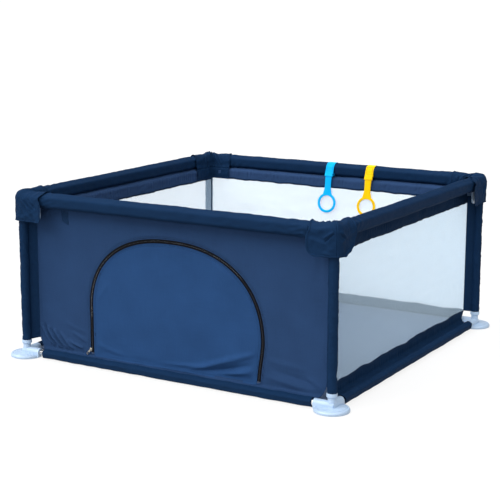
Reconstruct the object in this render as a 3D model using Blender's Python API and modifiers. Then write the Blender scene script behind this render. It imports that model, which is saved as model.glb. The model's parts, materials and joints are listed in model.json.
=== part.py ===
"""Square knock-down play yard: a steel tube frame in moulded corner sockets, dressed in a sewn fabric cover.

Metres, +Z up. The origin is on the floor at the centre of the footprint. The zip door faces -Y.
Each corner piece is made once for the front left corner and turned by quarter turns for the others.
Each side piece is made once for the front side and turned in the same way.
"""

import math

import bmesh
import bpy
from mathutils import Matrix, Vector

# ---- driving dimensions -------------------------------------------------------------------
SPAN = 1.36  # between neighbouring post axes
HALF = SPAN / 2
GAP = 0.0003  # left between faces that touch

TUBE_R = 0.0125  # steel tube, 25 mm outside
TUBE_WALL = 0.001
BORE_R = TUBE_R + GAP
SOCKET_R = 0.0165  # outside of the moulded side sockets

FOOT_R = 0.065
FOOT_TOP = 0.0155
PAD_R = 0.055
PAD_H = 0.003
FOOT_SOCKET = 0.068  # reach of a foot's side socket from the post axis
RAIL_Z = 0.0205  # axis of the bottom rails
COLLAR_R = 0.0195
COLLAR_TOP = 0.066
POST_SEAT = 0.040  # bottom of the socket that takes the post
RAIL_SEAT = 0.024  # inner end of the sockets that take the rails

TOP_Z = 0.635  # axis of the top rails
TOP_SOCKET = 0.0865  # reach of a top corner's side sockets
POST_TOP = 0.6097
HOOD_Z = 0.575  # mouth of the top corner's post socket

ROLL_R = 0.030  # padded top rail over its cover
COVER_T = 0.0012
SLEEVE_R = 0.018  # fabric sleeves round the posts and bottom rails
SLEEVE_END = 0.0745  # a bottom sleeve stops here, measured from the post axis
WEB_END = 0.049  # tip of the post sleeve's seam web, from the post axis
WEB_T = 0.0024

CAP_HALF = 0.032  # fabric corner cap, half its width
CAP_T = 0.0015
CAP_REACH = 0.105
CAP_LOW = 0.549  # lower hem of the outer flaps
CAP_INNER_LOW = 0.576
CAP_TOP = 0.667

WALL = 0.643  # wall planes, from the centre
WALL_T = 0.0015
WALL_LEN = 0.6418  # half length of a wall
WALL_TOP = 0.602
WALL_LOW = 0.003
CORNER_CUT = (0.0268, 0.042)  # the walls' lower corners are cut back over the foot: along, up
TOP_HEM = (0.570, 0.672)  # the walls' upper hem under the rail: half its length, how far out
LOW_HEM = (0.600, 0.667)  # the walls' lower hem beside the bottom sleeve
FLOOR_CUT = 0.018  # the floor sheet's corners are cut back round the foot
FLOOR_Z = 0.001
FLOOR_T = 0.0015

DOOR_HALF = 0.382  # half width of the arched door at its zip
DOOR_LOW = 0.047  # the door's hinge line
DOOR_SHOULDER = 0.200  # the sides are straight up to here
DOOR_TOP = 0.520
DOOR_POWER = 2.3  # how square the arch is: 2 is an ellipse
DOOR_LEAN = 0.018  # the arch leans this far to the left at its top
TAPE_W = 0.0078  # each half of the zip
TAPE_T = 0.0020
TAPE_GAP = 0.0004  # half the gap between the two halves of the zip

SLIDER_Z = 0.058
SLIDER_SIDE = 0.0052  # the parked slider sits this far out, on the frame's half, clear of the door
RING_X = (-0.019, 0.177)  # where the two pull rings hang on the back rail
RING_R = 0.0405  # to the middle of the ring's rim
RING_RIM = 0.009  # width of the ring's rim
RING_T = 0.005
RING_DROP = 0.122  # ring centre below its hinge
NECK_T = 0.0024  # the ring's neck is this thin where it leaves the strap
NECK_LEN = 0.0105
STRAP_W = 0.038
STRAP_T = 0.0014
STRAP_LEAN = math.radians(19)  # the strap's tail slants in, clear of the wall
HINGE_R = 0.0021  # the pull ring's bar
LOOP_R = 0.0040  # outside of the strap's end loop
LOOP_Z = 0.608
LOOP_GAPE = 55.0  # half the mouth of the strap's end loop, in degrees

SIDES = ("front", "right", "back", "left")
CORNERS = ("front_left", "front_right", "back_right", "back_left")

COLOURS = {
    "ice_plastic": ((0.62, 0.78, 0.86), 0.25, 0.0),
    "grip_rubber": ((0.20, 0.21, 0.23), 0.80, 0.0),
    "steel": ((0.62, 0.63, 0.65), 0.28, 1.0),
    "foam": ((0.82, 0.82, 0.80), 0.95, 0.0),
    "navy_fabric": ((0.016, 0.045, 0.115), 0.75, 0.0),
    "panel_fabric": ((0.022, 0.062, 0.155), 0.70, 0.0),
    "mesh_fabric": ((0.85, 0.90, 0.94), 0.80, 0.0),
    "floor_fabric": ((0.10, 0.13, 0.19), 0.80, 0.0),
    "zip_tape": ((0.012, 0.013, 0.018), 0.55, 0.0),
    "zip_metal": ((0.36, 0.34, 0.31), 0.35, 1.0),
    "blue_plastic": ((0.0, 0.32, 0.95), 0.35, 0.0),
    "yellow_plastic": ((0.92, 0.52, 0.01), 0.35, 0.0),
    "blue_webbing": ((0.0, 0.30, 0.90), 0.70, 0.0),
    "yellow_webbing": ((0.90, 0.50, 0.01), 0.70, 0.0),
}

# ---- scene and helpers --------------------------------------------------------------------
for old in list(bpy.data.objects):
    bpy.data.objects.remove(old)

part = bpy.data.collections.new("play_yard")
cutters = bpy.data.collections.new("cutters")
for group in (part, cutters):
    bpy.context.scene.collection.children.link(group)


def make_materials():
    made = {}
    for name, (colour, roughness, metallic) in COLOURS.items():
        made[name] = bpy.data.materials.new(name)
        made[name].use_nodes = True
        shader = made[name].node_tree.nodes["Principled BSDF"]
        shader.inputs["Base Color"].default_value = (*colour, 1.0)
        shader.inputs["Roughness"].default_value = roughness
        shader.inputs["Metallic"].default_value = metallic
    return made


MATERIALS = make_materials()


def empty(name, location=(0, 0, 0), turn=0.0):
    """A parent that turns the pieces under it about Z."""
    made = bpy.data.objects.new(name, None)
    made.location = location
    made.rotation_euler = (0, 0, turn)
    part.objects.link(made)
    return made


def place(name, mesh, material, parent=None, location=(0, 0, 0)):
    """A named object of the part, with its material."""
    made = bpy.data.objects.new(name, mesh)
    if not mesh.materials:
        mesh.materials.append(MATERIALS[material])
    made.parent = parent
    made.location = location
    part.objects.link(made)


def scratch(name, mesh):
    """A hidden object that is only there to be worked on or to cut."""
    made = bpy.data.objects.new(name, mesh)
    made.hide_render = True
    made.display_type = "WIRE"
    cutters.objects.link(made)
    return made


def settled(worked):
    """The evaluated mesh of a scratch object, which is then removed."""
    bpy.context.view_layer.update()
    graph = bpy.context.evaluated_depsgraph_get()
    mesh = bpy.data.meshes.new_from_object(worked.evaluated_get(graph))
    mesh.transform(worked.matrix_world)
    bpy.data.objects.remove(worked)
    work = bmesh.new()
    work.from_mesh(mesh)
    bmesh.ops.remove_doubles(work, verts=work.verts, dist=1e-6)
    bmesh.ops.recalc_face_normals(work, faces=work.faces)
    work.to_mesh(mesh)
    work.free()
    return mesh


def turned(profile, steps, closed=False):
    """A mesh turned about Z from a profile of (radius, height), outer side top to bottom."""
    mesh = bpy.data.meshes.new("profile")
    count = len(profile)
    edges = [(i, i + 1) for i in range(count - 1)]
    if closed:
        edges.append((count - 1, 0))
    mesh.from_pydata([(r, 0.0, z) for r, z in profile], edges, [])
    worked = scratch("turned", mesh)
    screw = worked.modifiers.new("Screw", "SCREW")
    screw.steps = screw.render_steps = steps
    screw.use_merge_vertices = True
    screw.merge_threshold = 0.00001
    return settled(worked)


def pipe(outer, inner, length, steps):
    """A tube along X, centred on the origin."""
    half = length / 2
    profile = [(outer, half), (outer, -half), (inner, -half), (inner, half)]
    mesh = turned(profile, steps, closed=True)
    mesh.transform(Matrix.Rotation(math.pi / 2, 4, "Y"))
    return mesh


def rod(radius, length, steps, axis, centre=(0, 0, 0)):
    """A solid cylinder along an axis."""
    work = bmesh.new()
    bmesh.ops.create_cone(
        work, cap_ends=True, segments=steps, radius1=radius, radius2=radius, depth=length
    )
    mesh = bpy.data.meshes.new("rod")
    work.to_mesh(mesh)
    work.free()
    facing = Vector((0, 0, 1)).rotation_difference(Vector(axis)).to_matrix().to_4x4()
    mesh.transform(Matrix.Translation(centre) @ facing)
    return mesh


def box(low, high):
    """A box between two corners."""
    low, high = Vector(low), Vector(high)
    work = bmesh.new()
    bmesh.ops.create_cube(work, size=1.0)
    mesh = bpy.data.meshes.new("box")
    work.to_mesh(mesh)
    work.free()
    size = Matrix.Diagonal((*(high - low), 1.0))
    mesh.transform(Matrix.Translation((low + high) / 2) @ size)
    return mesh


def plate(outlines, thickness):
    """A flat plate in XY, centred on Z = 0: the first outline is its edge, the others are holes."""
    curve = bpy.data.curves.new("outline", "CURVE")
    curve.dimensions = "2D"
    curve.fill_mode = "BOTH"
    curve.extrude = thickness / 2
    for outline in outlines:
        spline = curve.splines.new("POLY")
        spline.points.add(len(outline) - 1)
        for point, (x, y) in zip(spline.points, outline):
            point.co = (x, y, 0.0, 1.0)
        spline.use_cyclic_u = True
    return settled(scratch("plate", curve))


def arc(centre, radius, start, end, steps):
    """Points on an arc, angles in degrees, both ends included."""
    angles = [math.radians(start + (end - start) * i / steps) for i in range(steps + 1)]
    return [(centre[0] + radius * math.cos(a), centre[1] + radius * math.sin(a)) for a in angles]


def joined(base, added=(), cut=()):
    """The base mesh with others joined to it and then others cut from it."""
    worked = scratch("joined", base)
    tools = []
    for meshes, operation in ((added, "UNION"), (cut, "DIFFERENCE")):
        for mesh in meshes:
            tool = scratch("tool", mesh)
            step = worked.modifiers.new(operation, "BOOLEAN")
            step.operation = operation
            step.object = tool
            tools.append(tool)
    mesh = settled(worked)
    for tool in tools:
        bpy.data.objects.remove(tool)
    return mesh


def upright(mesh):
    """Stands a plate that was drawn in XY up into XZ, facing -Y."""
    mesh.transform(Matrix.Rotation(math.pi / 2, 4, "X"))
    return mesh


# ---- corner pieces, made about a post axis, with the rails along +X and +Y ---------------------
def foot_mesh():
    """Disc foot with an upright socket for the post and two D-shaped sockets for the rails."""
    neck_r = BORE_R + 0.002
    body = turned(
        [
            (0.0, POST_SEAT),
            (BORE_R, POST_SEAT),
            (BORE_R, COLLAR_TOP),
            (COLLAR_R, COLLAR_TOP),
            (COLLAR_R, COLLAR_TOP - 0.012),
            (neck_r, COLLAR_TOP - 0.017),
            (neck_r, FOOT_TOP + 0.001),
            (FOOT_R - 0.005, FOOT_TOP - 0.001),
            (FOOT_R, FOOT_TOP - 0.005),
            (FOOT_R, 0.002),
            (FOOT_R - 0.001, 0.001),
            (PAD_R + GAP, 0.001),
            (PAD_R + GAP, PAD_H + GAP),
            (0.0, PAD_H + GAP),
        ],
        28,
    )
    low = PAD_H + 2 * GAP
    outline = arc((0, RAIL_Z), SOCKET_R, 0, 180, 10) + [(-SOCKET_R, low), (SOCKET_R, low)]
    sockets, bores = [], []
    for quarter in (0, 1):
        socket = upright(plate([outline], FOOT_SOCKET))
        bore = rod(BORE_R, 0.06, 16, (0, 1, 0), (0, RAIL_SEAT + 0.03, RAIL_Z))
        socket.transform(Matrix.Translation((0, FOOT_SOCKET / 2, 0)))
        for mesh in (socket, bore):
            mesh.transform(Matrix.Rotation(-quarter * math.pi / 2, 4, "Z"))
        sockets.append(socket)
        bores.append(bore)
    return joined(body, sockets, bores + [rod(BORE_R, 0.04, 28, (0, 0, 1), (0, 0, POST_SEAT + 0.02))])


def top_corner_mesh():
    """Three-way socket inside the fabric cap, with a rounded ear under each rail socket."""
    low, high = HOOD_Z, TOP_Z + SOCKET_R - 0.002
    body = rod(SOCKET_R + 0.0005, high - low, 20, (0, 0, 1), (0, 0, (low + high) / 2))
    ear_in, ear_out, ear_low, ear_round = 0.030, 0.086, 0.548, 0.022
    ear = [(ear_in, TOP_Z - 0.005)]
    ear += arc((ear_in + ear_round, ear_low + ear_round), ear_round, 180, 270, 6)
    ear += arc((ear_out - ear_round, ear_low + ear_round), ear_round, 270, 360, 6)
    ear += [(ear_out, TOP_Z - 0.005)]
    added, bores = [], []
    for quarter in (0, 1):
        socket = rod(SOCKET_R, TOP_SOCKET, 16, (1, 0, 0), (TOP_SOCKET / 2, 0, TOP_Z))
        web = upright(plate([ear], 0.005))
        bore = rod(BORE_R, 0.08, 16, (1, 0, 0), (RAIL_SEAT + 0.04, 0, TOP_Z))
        for mesh in (socket, web, bore):
            mesh.transform(Matrix.Rotation(quarter * math.pi / 2, 4, "Z"))
        added += [socket, web]
        bores.append(bore)
    seat = POST_TOP + GAP
    bores.append(rod(BORE_R, 0.05, 20, (0, 0, 1), (0, 0, seat - 0.025)))
    return joined(body, added, bores)


def post_sleeve_mesh():
    """Fabric pocket round the post, with the flat web that runs in to the corner seam."""
    open_angle = math.degrees(math.asin(WEB_T / 2 / SLEEVE_R))
    outline = arc((0, 0), SLEEVE_R, open_angle, 360 - open_angle, 20)
    outline += [(WEB_END, -WEB_T / 2), (WEB_END, WEB_T / 2)]
    hole = arc((0, 0), SLEEVE_R - COVER_T, 0, 342, 19)
    low, high = COLLAR_TOP + 0.0005, HOOD_Z - 0.001
    mesh = plate([outline, hole], high - low)
    mesh.transform(Matrix.Rotation(math.radians(45), 4, "Z"))
    mesh.transform(Matrix.Translation((0, 0, (low + high) / 2)))
    return mesh


def cap_mesh():
    """Fabric hood over the corner: an L-shaped channel, open below and at both ends."""
    rounding = 0.038
    inner = CAP_HALF - CAP_T
    flap = [(-CAP_HALF, CAP_TOP), (-CAP_HALF, CAP_LOW)]
    flap += arc((CAP_REACH - rounding, CAP_LOW + rounding), rounding, 270, 360, 6)
    flap += [(CAP_REACH, CAP_TOP)]
    arms, hollows = [], []
    for quarter in (0, 1):
        arm = upright(plate([flap], 2 * CAP_HALF))
        if quarter:
            arm.transform(Matrix.Diagonal((1, -1, 1, 1)))
            arm.transform(Matrix.Rotation(math.pi / 2, 4, "Z"))
            arm.flip_normals()
        arms.append(arm)
    reach, low = CAP_REACH + 0.01, CAP_LOW - 0.01
    hollows.append(box((-inner, -inner, low), (reach, inner, CAP_TOP - CAP_T)))
    hollows.append(box((-inner, -inner, low), (inner, reach, CAP_TOP - CAP_T)))
    hollows.append(box((-inner, -inner, low), (reach, reach, CAP_INNER_LOW)))
    return joined(arms[0], arms[1:], hollows)


def make_corners():
    pad = turned([(0.0, PAD_H), (PAD_R, PAD_H), (PAD_R, 0.0), (0.0, 0.0)], 28)
    post_low = POST_SEAT + GAP
    post = pipe(TUBE_R, TUBE_R - TUBE_WALL, POST_TOP - post_low, 16)
    post.transform(Matrix.Rotation(math.pi / 2, 4, "Y"))
    post.transform(Matrix.Translation((0, 0, (POST_TOP + post_low) / 2)))
    pieces = (
        ("foot", foot_mesh(), "ice_plastic"),
        ("foot_pad", pad, "grip_rubber"),
        ("post", post, "steel"),
        ("post_sleeve", post_sleeve_mesh(), "navy_fabric"),
        ("top_corner", top_corner_mesh(), "ice_plastic"),
        ("corner_cap", cap_mesh(), "navy_fabric"),
    )
    for index, corner in enumerate(CORNERS):
        turn = empty("turn_" + corner, turn=index * math.pi / 2)
        for name, mesh, material in pieces:
            place(name + "_" + corner, mesh, material, turn, (-HALF, -HALF, 0))


# ---- side pieces, made for the front side --------------------------------------------------
def wall_outline():
    """The edge of a wall, with its lower corners cut back over the feet."""
    along, up = CORNER_CUT
    right = [
        (WALL_LEN - along, WALL_LOW),
        (WALL_LEN, WALL_LOW + up),
        (WALL_LEN, WALL_TOP),
    ]
    return right + [(-x, z) for x, z in reversed(right)]


def with_hems(wall):
    """A wall plate, drawn about its own plane, with the hems that run out to the rail and sleeve."""
    hems = []
    for (half, out), low in ((TOP_HEM, WALL_TOP - WALL_T), (LOW_HEM, WALL_LOW)):
        hems.append(box((-half, WALL - out, low), (half, 0.0, low + WALL_T)))
    return joined(wall, hems)


def make_sides():
    rail = pipe(TUBE_R, TUBE_R - TUBE_WALL, 2 * (HALF - RAIL_SEAT - GAP), 16)
    sleeve = pipe(SLEEVE_R, SLEEVE_R - COVER_T, 2 * (HALF - SLEEVE_END), 20)
    padded = 2 * (HALF - TOP_SOCKET - GAP)
    foam = pipe(ROLL_R - COVER_T - GAP, BORE_R, padded, 20)
    cover = pipe(ROLL_R, ROLL_R - COVER_T, padded, 24)
    pieces = (
        ("bottom_rail", rail, "steel", RAIL_Z),
        ("bottom_sleeve", sleeve, "navy_fabric", RAIL_Z),
        ("top_rail", rail, "steel", TOP_Z),
        ("top_foam", foam, "foam", TOP_Z),
        ("top_cover", cover, "navy_fabric", TOP_Z),
    )
    wall = with_hems(upright(plate([wall_outline()], WALL_T)))
    for index, side in enumerate(SIDES):
        turn = empty("turn_" + side, turn=index * math.pi / 2)
        for name, mesh, material, height in pieces:
            place(name + "_" + side, mesh, material, turn, (0, -HALF, height))
        if side != "front":
            place("mesh_wall_" + side, wall, "mesh_fabric", turn, (0, -WALL, 0))


def make_floor():
    half = WALL_LEN - GAP
    cut = half - FLOOR_CUT
    corner = [(half, cut), (cut, half)]
    edge = []
    for quarter in range(4):
        turn = Matrix.Rotation(quarter * math.pi / 2, 2)
        edge += [tuple(turn @ Vector(point)) for point in corner]
    place("floor_sheet", plate([edge], FLOOR_T), "floor_fabric", None, (0, 0, FLOOR_Z + FLOOR_T / 2))


# ---- front panel, arched door and zip --------------------------------------------------------
def arch_point(share):
    """A point on the zip line, from its lower left end at 0 to its lower right end at 1."""
    if share < 0.2:
        return (-DOOR_HALF, DOOR_LOW + (DOOR_SHOULDER - DOOR_LOW) * share / 0.2)
    if share > 0.8:
        return (DOOR_HALF, DOOR_LOW + (DOOR_SHOULDER - DOOR_LOW) * (1 - share) / 0.2)
    angle = math.pi * (0.8 - share) / 0.6
    across, up = math.cos(angle), math.sin(angle)
    across = math.copysign(abs(across) ** (2 / DOOR_POWER), across)
    up = abs(up) ** (2 / DOOR_POWER)
    return (DOOR_HALF * across - DOOR_LEAN * up, DOOR_SHOULDER + (DOOR_TOP - DOOR_SHOULDER) * up)


def arch(offset, steps=30):
    """The zip line moved outward by an offset, as points from lower left to lower right."""
    points = []
    for i in range(steps + 1):
        share = 0.2 + 0.6 * i / steps
        x, z = arch_point(share)
        ahead, behind = arch_point(min(share + 0.004, 0.8)), arch_point(max(share - 0.004, 0.2))
        along = Vector((ahead[0] - behind[0], ahead[1] - behind[1])).normalized()
        points.append((x - along.y * offset, z + along.x * offset))
    points[0] = (-DOOR_HALF - offset, DOOR_SHOULDER)
    points[-1] = (DOOR_HALF + offset, DOOR_SHOULDER)
    return [(points[0][0], DOOR_LOW)] + points + [(points[-1][0], DOOR_LOW)]


def make_front():
    edge = TAPE_W + TAPE_GAP + GAP
    opening = arch(edge)
    opening[0] = (opening[0][0], DOOR_LOW - 0.002)
    opening[-1] = (opening[-1][0], DOOR_LOW - 0.002)
    panel = with_hems(upright(plate([wall_outline(), opening], WALL_T)))
    place("front_panel", panel, "panel_fabric", None, (0, -WALL, 0))
    fixed = arch(TAPE_GAP + TAPE_W) + arch(TAPE_GAP)[::-1]
    place("zip_tape_frame", upright(plate([fixed], TAPE_T)), "zip_tape", None, (0, -WALL, 0))

    hinge = empty("door_hinge", (0, -WALL, DOOR_LOW))
    drop = (0, 0, -DOOR_LOW)
    place("door_flap", upright(plate([arch(-edge)], WALL_T)), "panel_fabric", hinge, drop)
    moving = arch(-TAPE_GAP) + arch(-TAPE_GAP - TAPE_W)[::-1]
    place("zip_tape_door", upright(plate([moving], TAPE_T)), "zip_tape", hinge, drop)


def make_slider():
    """Zip slider with its bail, and the pull tab whose bar turns in the bail."""
    front = -TAPE_T / 2 - GAP  # face of the slider that runs on the teeth, from the wall plane
    body_t, bail_t = 0.0042, 0.0030
    face = front - body_t
    bar_y = face - bail_t / 2
    body = joined(
        box((-0.0048, face, -0.0070), (0.0048, front, 0.0070)),
        [box((-0.0011, face - bail_t, -0.0034), (0.0011, face + 0.0005, 0.0034))],
        [rod(0.0011, 0.006, 12, (1, 0, 0), (0, bar_y, 0))],
    )
    slide = empty("zip_slide", (-DOOR_HALF - SLIDER_SIDE, -WALL, SLIDER_Z))
    place("zip_slider", body, "zip_metal", slide)

    bar = rod(0.0007, 0.0066, 10, (1, 0, 0))
    arms = [box((side - 0.0007, -0.0006, -0.0090), (side + 0.0007, 0.0006, 0.0006)) for side in (-0.0026, 0.0026)]
    blade = [(-0.0033, -0.0060), (0.0033, -0.0060), (0.0042, -0.0120)]
    blade += arc((0, -0.0240), 0.0042, 0, -180, 8) + [(-0.0042, -0.0120)]
    tab = joined(bar, arms + [upright(plate([blade], 0.0012))])
    pivot = empty("zip_pull_pivot", (0, bar_y, 0))
    pivot.parent = slide
    place("zip_pull", tab, "zip_metal", pivot)


# ---- pull rings on the back rail --------------------------------------------------------------
def strap_mesh():
    """Webbing in profile: a loop round the padded rail, a doubled tail that slants in and down, and
    a small loop, open below, that holds the ring's bar. Drawn about the rail axis with X outward
    and Y up, then run along the rail. Returned with the place of the bar."""
    outer = ROLL_R + GAP + STRAP_T
    out = Vector((-math.cos(STRAP_LEAN), math.sin(STRAP_LEAN)))
    down = Vector((-math.sin(STRAP_LEAN), -math.cos(STRAP_LEAN)))
    start = out * (outer - STRAP_T / 2)
    bar = start + down * (TOP_Z + start.y - LOOP_Z) / -down.y
    stop = bar - down * (LOOP_R - STRAP_T / 2)
    rail_loop = [arc((0, 0), outer, 0, 348, 29), arc((0, 0), ROLL_R + GAP, 0, 345, 23)]
    near, far = start - down * 0.002, out * STRAP_T / 2
    tail = [tuple(near + far), tuple(stop + far * 2), tuple(stop - far * 2), tuple(near - far)]
    eye = arc(bar, LOOP_R, -90 + LOOP_GAPE, 270 - LOOP_GAPE, 14)
    eye += arc(bar, HINGE_R + GAP, 270 - LOOP_GAPE, -90 + LOOP_GAPE, 12)
    shapes = [plate(drawn, STRAP_W) for drawn in (rail_loop, [tail], [eye])]
    mesh = joined(shapes[0], shapes[1:])
    mesh.transform(Matrix(((0, 0, 1, 0), (1, 0, 0, 0), (0, 1, 0, 0), (0, 0, 0, 1))))
    return mesh, bar


def ring_mesh():
    """Moulded pull ring: a bar, a thin neck that flares, and the flat round rim. Bar at the origin."""
    outer, inner = RING_R + RING_RIM / 2, RING_R - RING_RIM / 2
    centre = (0.0, -RING_DROP)
    neck, flare, shoulder = 0.0125, 0.020, -RING_DROP + RING_R * 1.25
    spread = math.degrees(math.asin(flare / outer))
    outline = [(neck, 0.0), (neck, shoulder)]
    outline += arc(centre, outer, 90 - spread, -270 + spread, 28)
    outline += [(-neck, shoulder), (-neck, 0.0)]
    rim = upright(plate([outline, arc(centre, inner, 0, 345, 23)], RING_T))
    thin, thick = NECK_T / 2, RING_T
    trims = [
        box((-0.03, thin, -NECK_LEN), (0.03, thick, 0.004)),
        box((-0.03, -thick, -NECK_LEN), (0.03, -thin, 0.004)),
    ]
    slim = joined(rim, [], trims)
    return joined(slim, [rod(HINGE_R, STRAP_W - 0.002, 12, (1, 0, 0))])


def make_rings():
    strap, bar = strap_mesh()
    for colour, x in zip(("blue", "yellow"), RING_X):
        swing = empty("ring_strap_pivot_" + colour, (x, HALF, TOP_Z))
        place("ring_strap_" + colour, strap.copy(), colour + "_webbing", swing)
        hang = empty("pull_ring_pivot_" + colour, (0, bar.x, bar.y))
        hang.parent = swing
        place("pull_ring_" + colour, ring_mesh(), colour + "_plastic", hang)


make_corners()
make_sides()
make_floor()
make_front()
make_slider()
make_rings()
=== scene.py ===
"""Looks of the square play yard: what each CAD piece really looks like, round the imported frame.

Metres, +Z up, in the CAD's frame. A piece of cloth is a grid of points laid over its shape, with a
UV map named "cloth" that gives every point its place on the flat cloth in metres, so that weave and
stitches keep their real size. Corner pieces are made about a post axis with the rails along +X and
+Y, side pieces for the front, and both are turned by quarter turns.
"""

import json
import math

import bmesh
import bpy
import numpy as np
from mathutils import Matrix, Vector


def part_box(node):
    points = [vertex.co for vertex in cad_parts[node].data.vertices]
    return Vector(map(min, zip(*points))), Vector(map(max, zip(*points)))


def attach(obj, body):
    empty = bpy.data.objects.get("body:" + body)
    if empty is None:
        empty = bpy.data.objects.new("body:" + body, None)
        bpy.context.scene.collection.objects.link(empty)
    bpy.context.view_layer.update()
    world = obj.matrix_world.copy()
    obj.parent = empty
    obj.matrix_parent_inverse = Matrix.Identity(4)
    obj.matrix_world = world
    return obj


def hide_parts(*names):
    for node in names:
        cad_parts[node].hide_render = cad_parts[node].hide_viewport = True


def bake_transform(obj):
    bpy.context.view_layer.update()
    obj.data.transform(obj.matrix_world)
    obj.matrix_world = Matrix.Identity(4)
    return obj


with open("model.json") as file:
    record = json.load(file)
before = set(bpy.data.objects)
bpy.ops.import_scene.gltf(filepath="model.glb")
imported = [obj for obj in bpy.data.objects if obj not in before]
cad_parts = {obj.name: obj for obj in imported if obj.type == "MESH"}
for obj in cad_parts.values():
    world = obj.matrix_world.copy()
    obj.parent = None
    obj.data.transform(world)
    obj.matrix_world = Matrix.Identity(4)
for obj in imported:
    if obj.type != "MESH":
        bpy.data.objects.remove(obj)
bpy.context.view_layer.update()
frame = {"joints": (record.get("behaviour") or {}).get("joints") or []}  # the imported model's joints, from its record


# ---- places and sizes, from the frame ----
def middle(node):
    low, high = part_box(node)
    return (low + high) / 2


def half_size(node):
    low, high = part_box(node)
    return (high - low) / 2


def pivot(name):
    return Vector(next(joint["pos_m"] for joint in frame["joints"] if joint["name"] == name))


SIDES = ("front", "right", "back", "left")
CORNERS = ("front_left", "front_right", "back_right", "back_left")

HALF = -middle("post_front_left").x  # from the centre to a post axis
TOP_Z = middle("top_rail_front").z
RAIL_Z = middle("bottom_rail_front").z
RAIL_HALF, _, TUBE_R = half_size("top_rail_front")
ROLL_HALF, _, ROLL_R = half_size("top_cover_front")
SLEEVE_HALF, _, SLEEVE_R = half_size("bottom_sleeve_front")
WALL = -middle("zip_tape_frame").y  # the wall planes, from the centre
WALL_IN = HALF - WALL  # and from the rails' axes
WALL_HALF = half_size("floor_sheet").x
POST_LOW, POST_TOP = (corner.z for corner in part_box("post_front_left"))
POST_SLEEVE_LOW, POST_SLEEVE_TOP = (corner.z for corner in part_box("post_sleeve_front_left"))
FOOT_R = -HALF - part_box("foot_front_left")[0].x
FOOT_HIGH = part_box("foot_front_left")[1].z
PAD_R = half_size("foot_pad_front_left").x
PAD_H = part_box("foot_pad_front_left")[1].z
CAP_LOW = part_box("corner_cap_front_left")[0].z
CAP_R = -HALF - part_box("corner_cap_front_left")[0].x - 0.0006
DOOR_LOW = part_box("door_flap")[0].z

GAP = 0.0003  # between pieces that touch
TUBE_WALL = 0.001
SOCKET_R = 0.0165  # outside of the moulded sockets
CLOTH_T = 0.0008  # thickness of the woven cloth
THREAD_R = 0.00034
STITCH = 0.0036  # from one stitch to the next
HEM = 0.0065
QUARTER = math.pi / 2
OUTWARD = np.array([0.0, -1.0, 0.0])  # out of the front wall


# ---- numbers over cloth ----
def stack(*parts):
    """Coordinates put together into points."""
    return np.stack(np.broadcast_arrays(*parts), -1)


def ripple(a, b, seed, size, waves=9):
    """Smooth irregular waves over two coordinates in metres, about -1 to 1, of a given size."""
    draw = np.random.RandomState(seed)
    total = np.zeros(np.broadcast(a, b).shape)
    for _ in range(waves):
        angle = draw.uniform(0, 2 * math.pi)
        pace, phase = draw.uniform(0.6, 1.5), draw.uniform(0, 7)
        along = a * math.cos(angle) + b * math.sin(angle)
        total += np.sin(2 * math.pi / size * pace * along + phase)
    return total / math.sqrt(waves)


def puckers(along, seed, size):
    """Uneven narrow gathers along a seam, 0 to about 1."""
    draw = np.random.RandomState(seed)
    total = np.zeros(np.shape(along))
    for _ in range(5):
        pace, phase = draw.uniform(0.55, 1.6), draw.uniform(0, 7)
        total += np.sin(2 * math.pi / size * pace * along + phase)
    return np.clip(0.5 + total / 4, 0, None) ** 1.3


def smooth(value, start, end):
    """0 before start and 1 after end, with a smooth turn between."""
    t = np.clip((value - start) / (end - start), 0, 1)
    return t * t * (3 - 2 * t)


def bell(value, centre, width):
    """1 at a centre, falling away to 0 over about twice a width."""
    return np.exp(-(((value - centre) / width) ** 2))


def folds(a, b, rows):
    """Listed folds in millimetres: one end and the other on the cloth, width and height."""
    total = np.zeros(np.broadcast(a, b).shape)
    for row in rows:
        a0, b0, a1, b1, width, height = (number / 1000 for number in row)
        da, db = a1 - a0, b1 - b0
        length = math.hypot(da, db)
        share = ((a - a0) * da + (b - b0) * db) / length**2
        off = ((a - a0) * db - (b - b0) * da) / length
        total += height * np.clip(4 * share * (1 - share), 0, 1) ** 0.6 * bell(off, 0, width)
    return total


def hem(distance, width=HEM, rise=0.0009):
    """A doubled edge and the groove that its stitches pull, by distance from the edge."""
    doubled = rise * (1 - smooth(distance, width, width + 0.002))
    return doubled - rise * 1.9 * bell(distance, width, 0.0016)


def normals(points):
    across = np.cross(np.gradient(points, axis=0), np.gradient(points, axis=1))
    return across / np.maximum(np.linalg.norm(across, axis=-1, keepdims=True), 1e-12)


def raised(points, amount):
    """The points moved along the surface's normals."""
    return points + normals(points) * np.asarray(amount)[..., None]


def turn_points(points, quarters):
    """Quarter turns about the yard's centre, from the front side or the front left corner."""
    return points @ np.array(Matrix.Rotation(quarters * QUARTER, 3, "Z")).T


def run_of(points):
    """How far along a polyline each of its points is."""
    return np.concatenate([[0], np.cumsum(np.linalg.norm(np.diff(points, axis=0), axis=1))])


def even(points, step=None, count=None):
    """A polyline read off again at even steps, or at a count of places."""
    points = np.asarray(points, float)
    run = run_of(points)
    places = np.linspace(0, run[-1], count or max(2, int(round(run[-1] / step)) + 1))
    return np.stack([np.interp(places, run, column) for column in points.T], -1)


def heading(points):
    """Unit vectors along a polyline."""
    along = np.gradient(points, axis=0)
    return along / np.linalg.norm(along, axis=1, keepdims=True)


def nearest(points, line, chunk=50):
    """The distance from each point of a grid to the nearest point of a line."""
    flat = points.reshape(-1, points.shape[-1])
    near = np.full(len(flat), np.inf)
    for start in range(0, len(line), chunk):
        gap = np.linalg.norm(flat[:, None] - line[None, start : start + chunk], axis=2)
        near = np.minimum(near, gap.min(axis=1))
    return near.reshape(points.shape[:-1])


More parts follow.
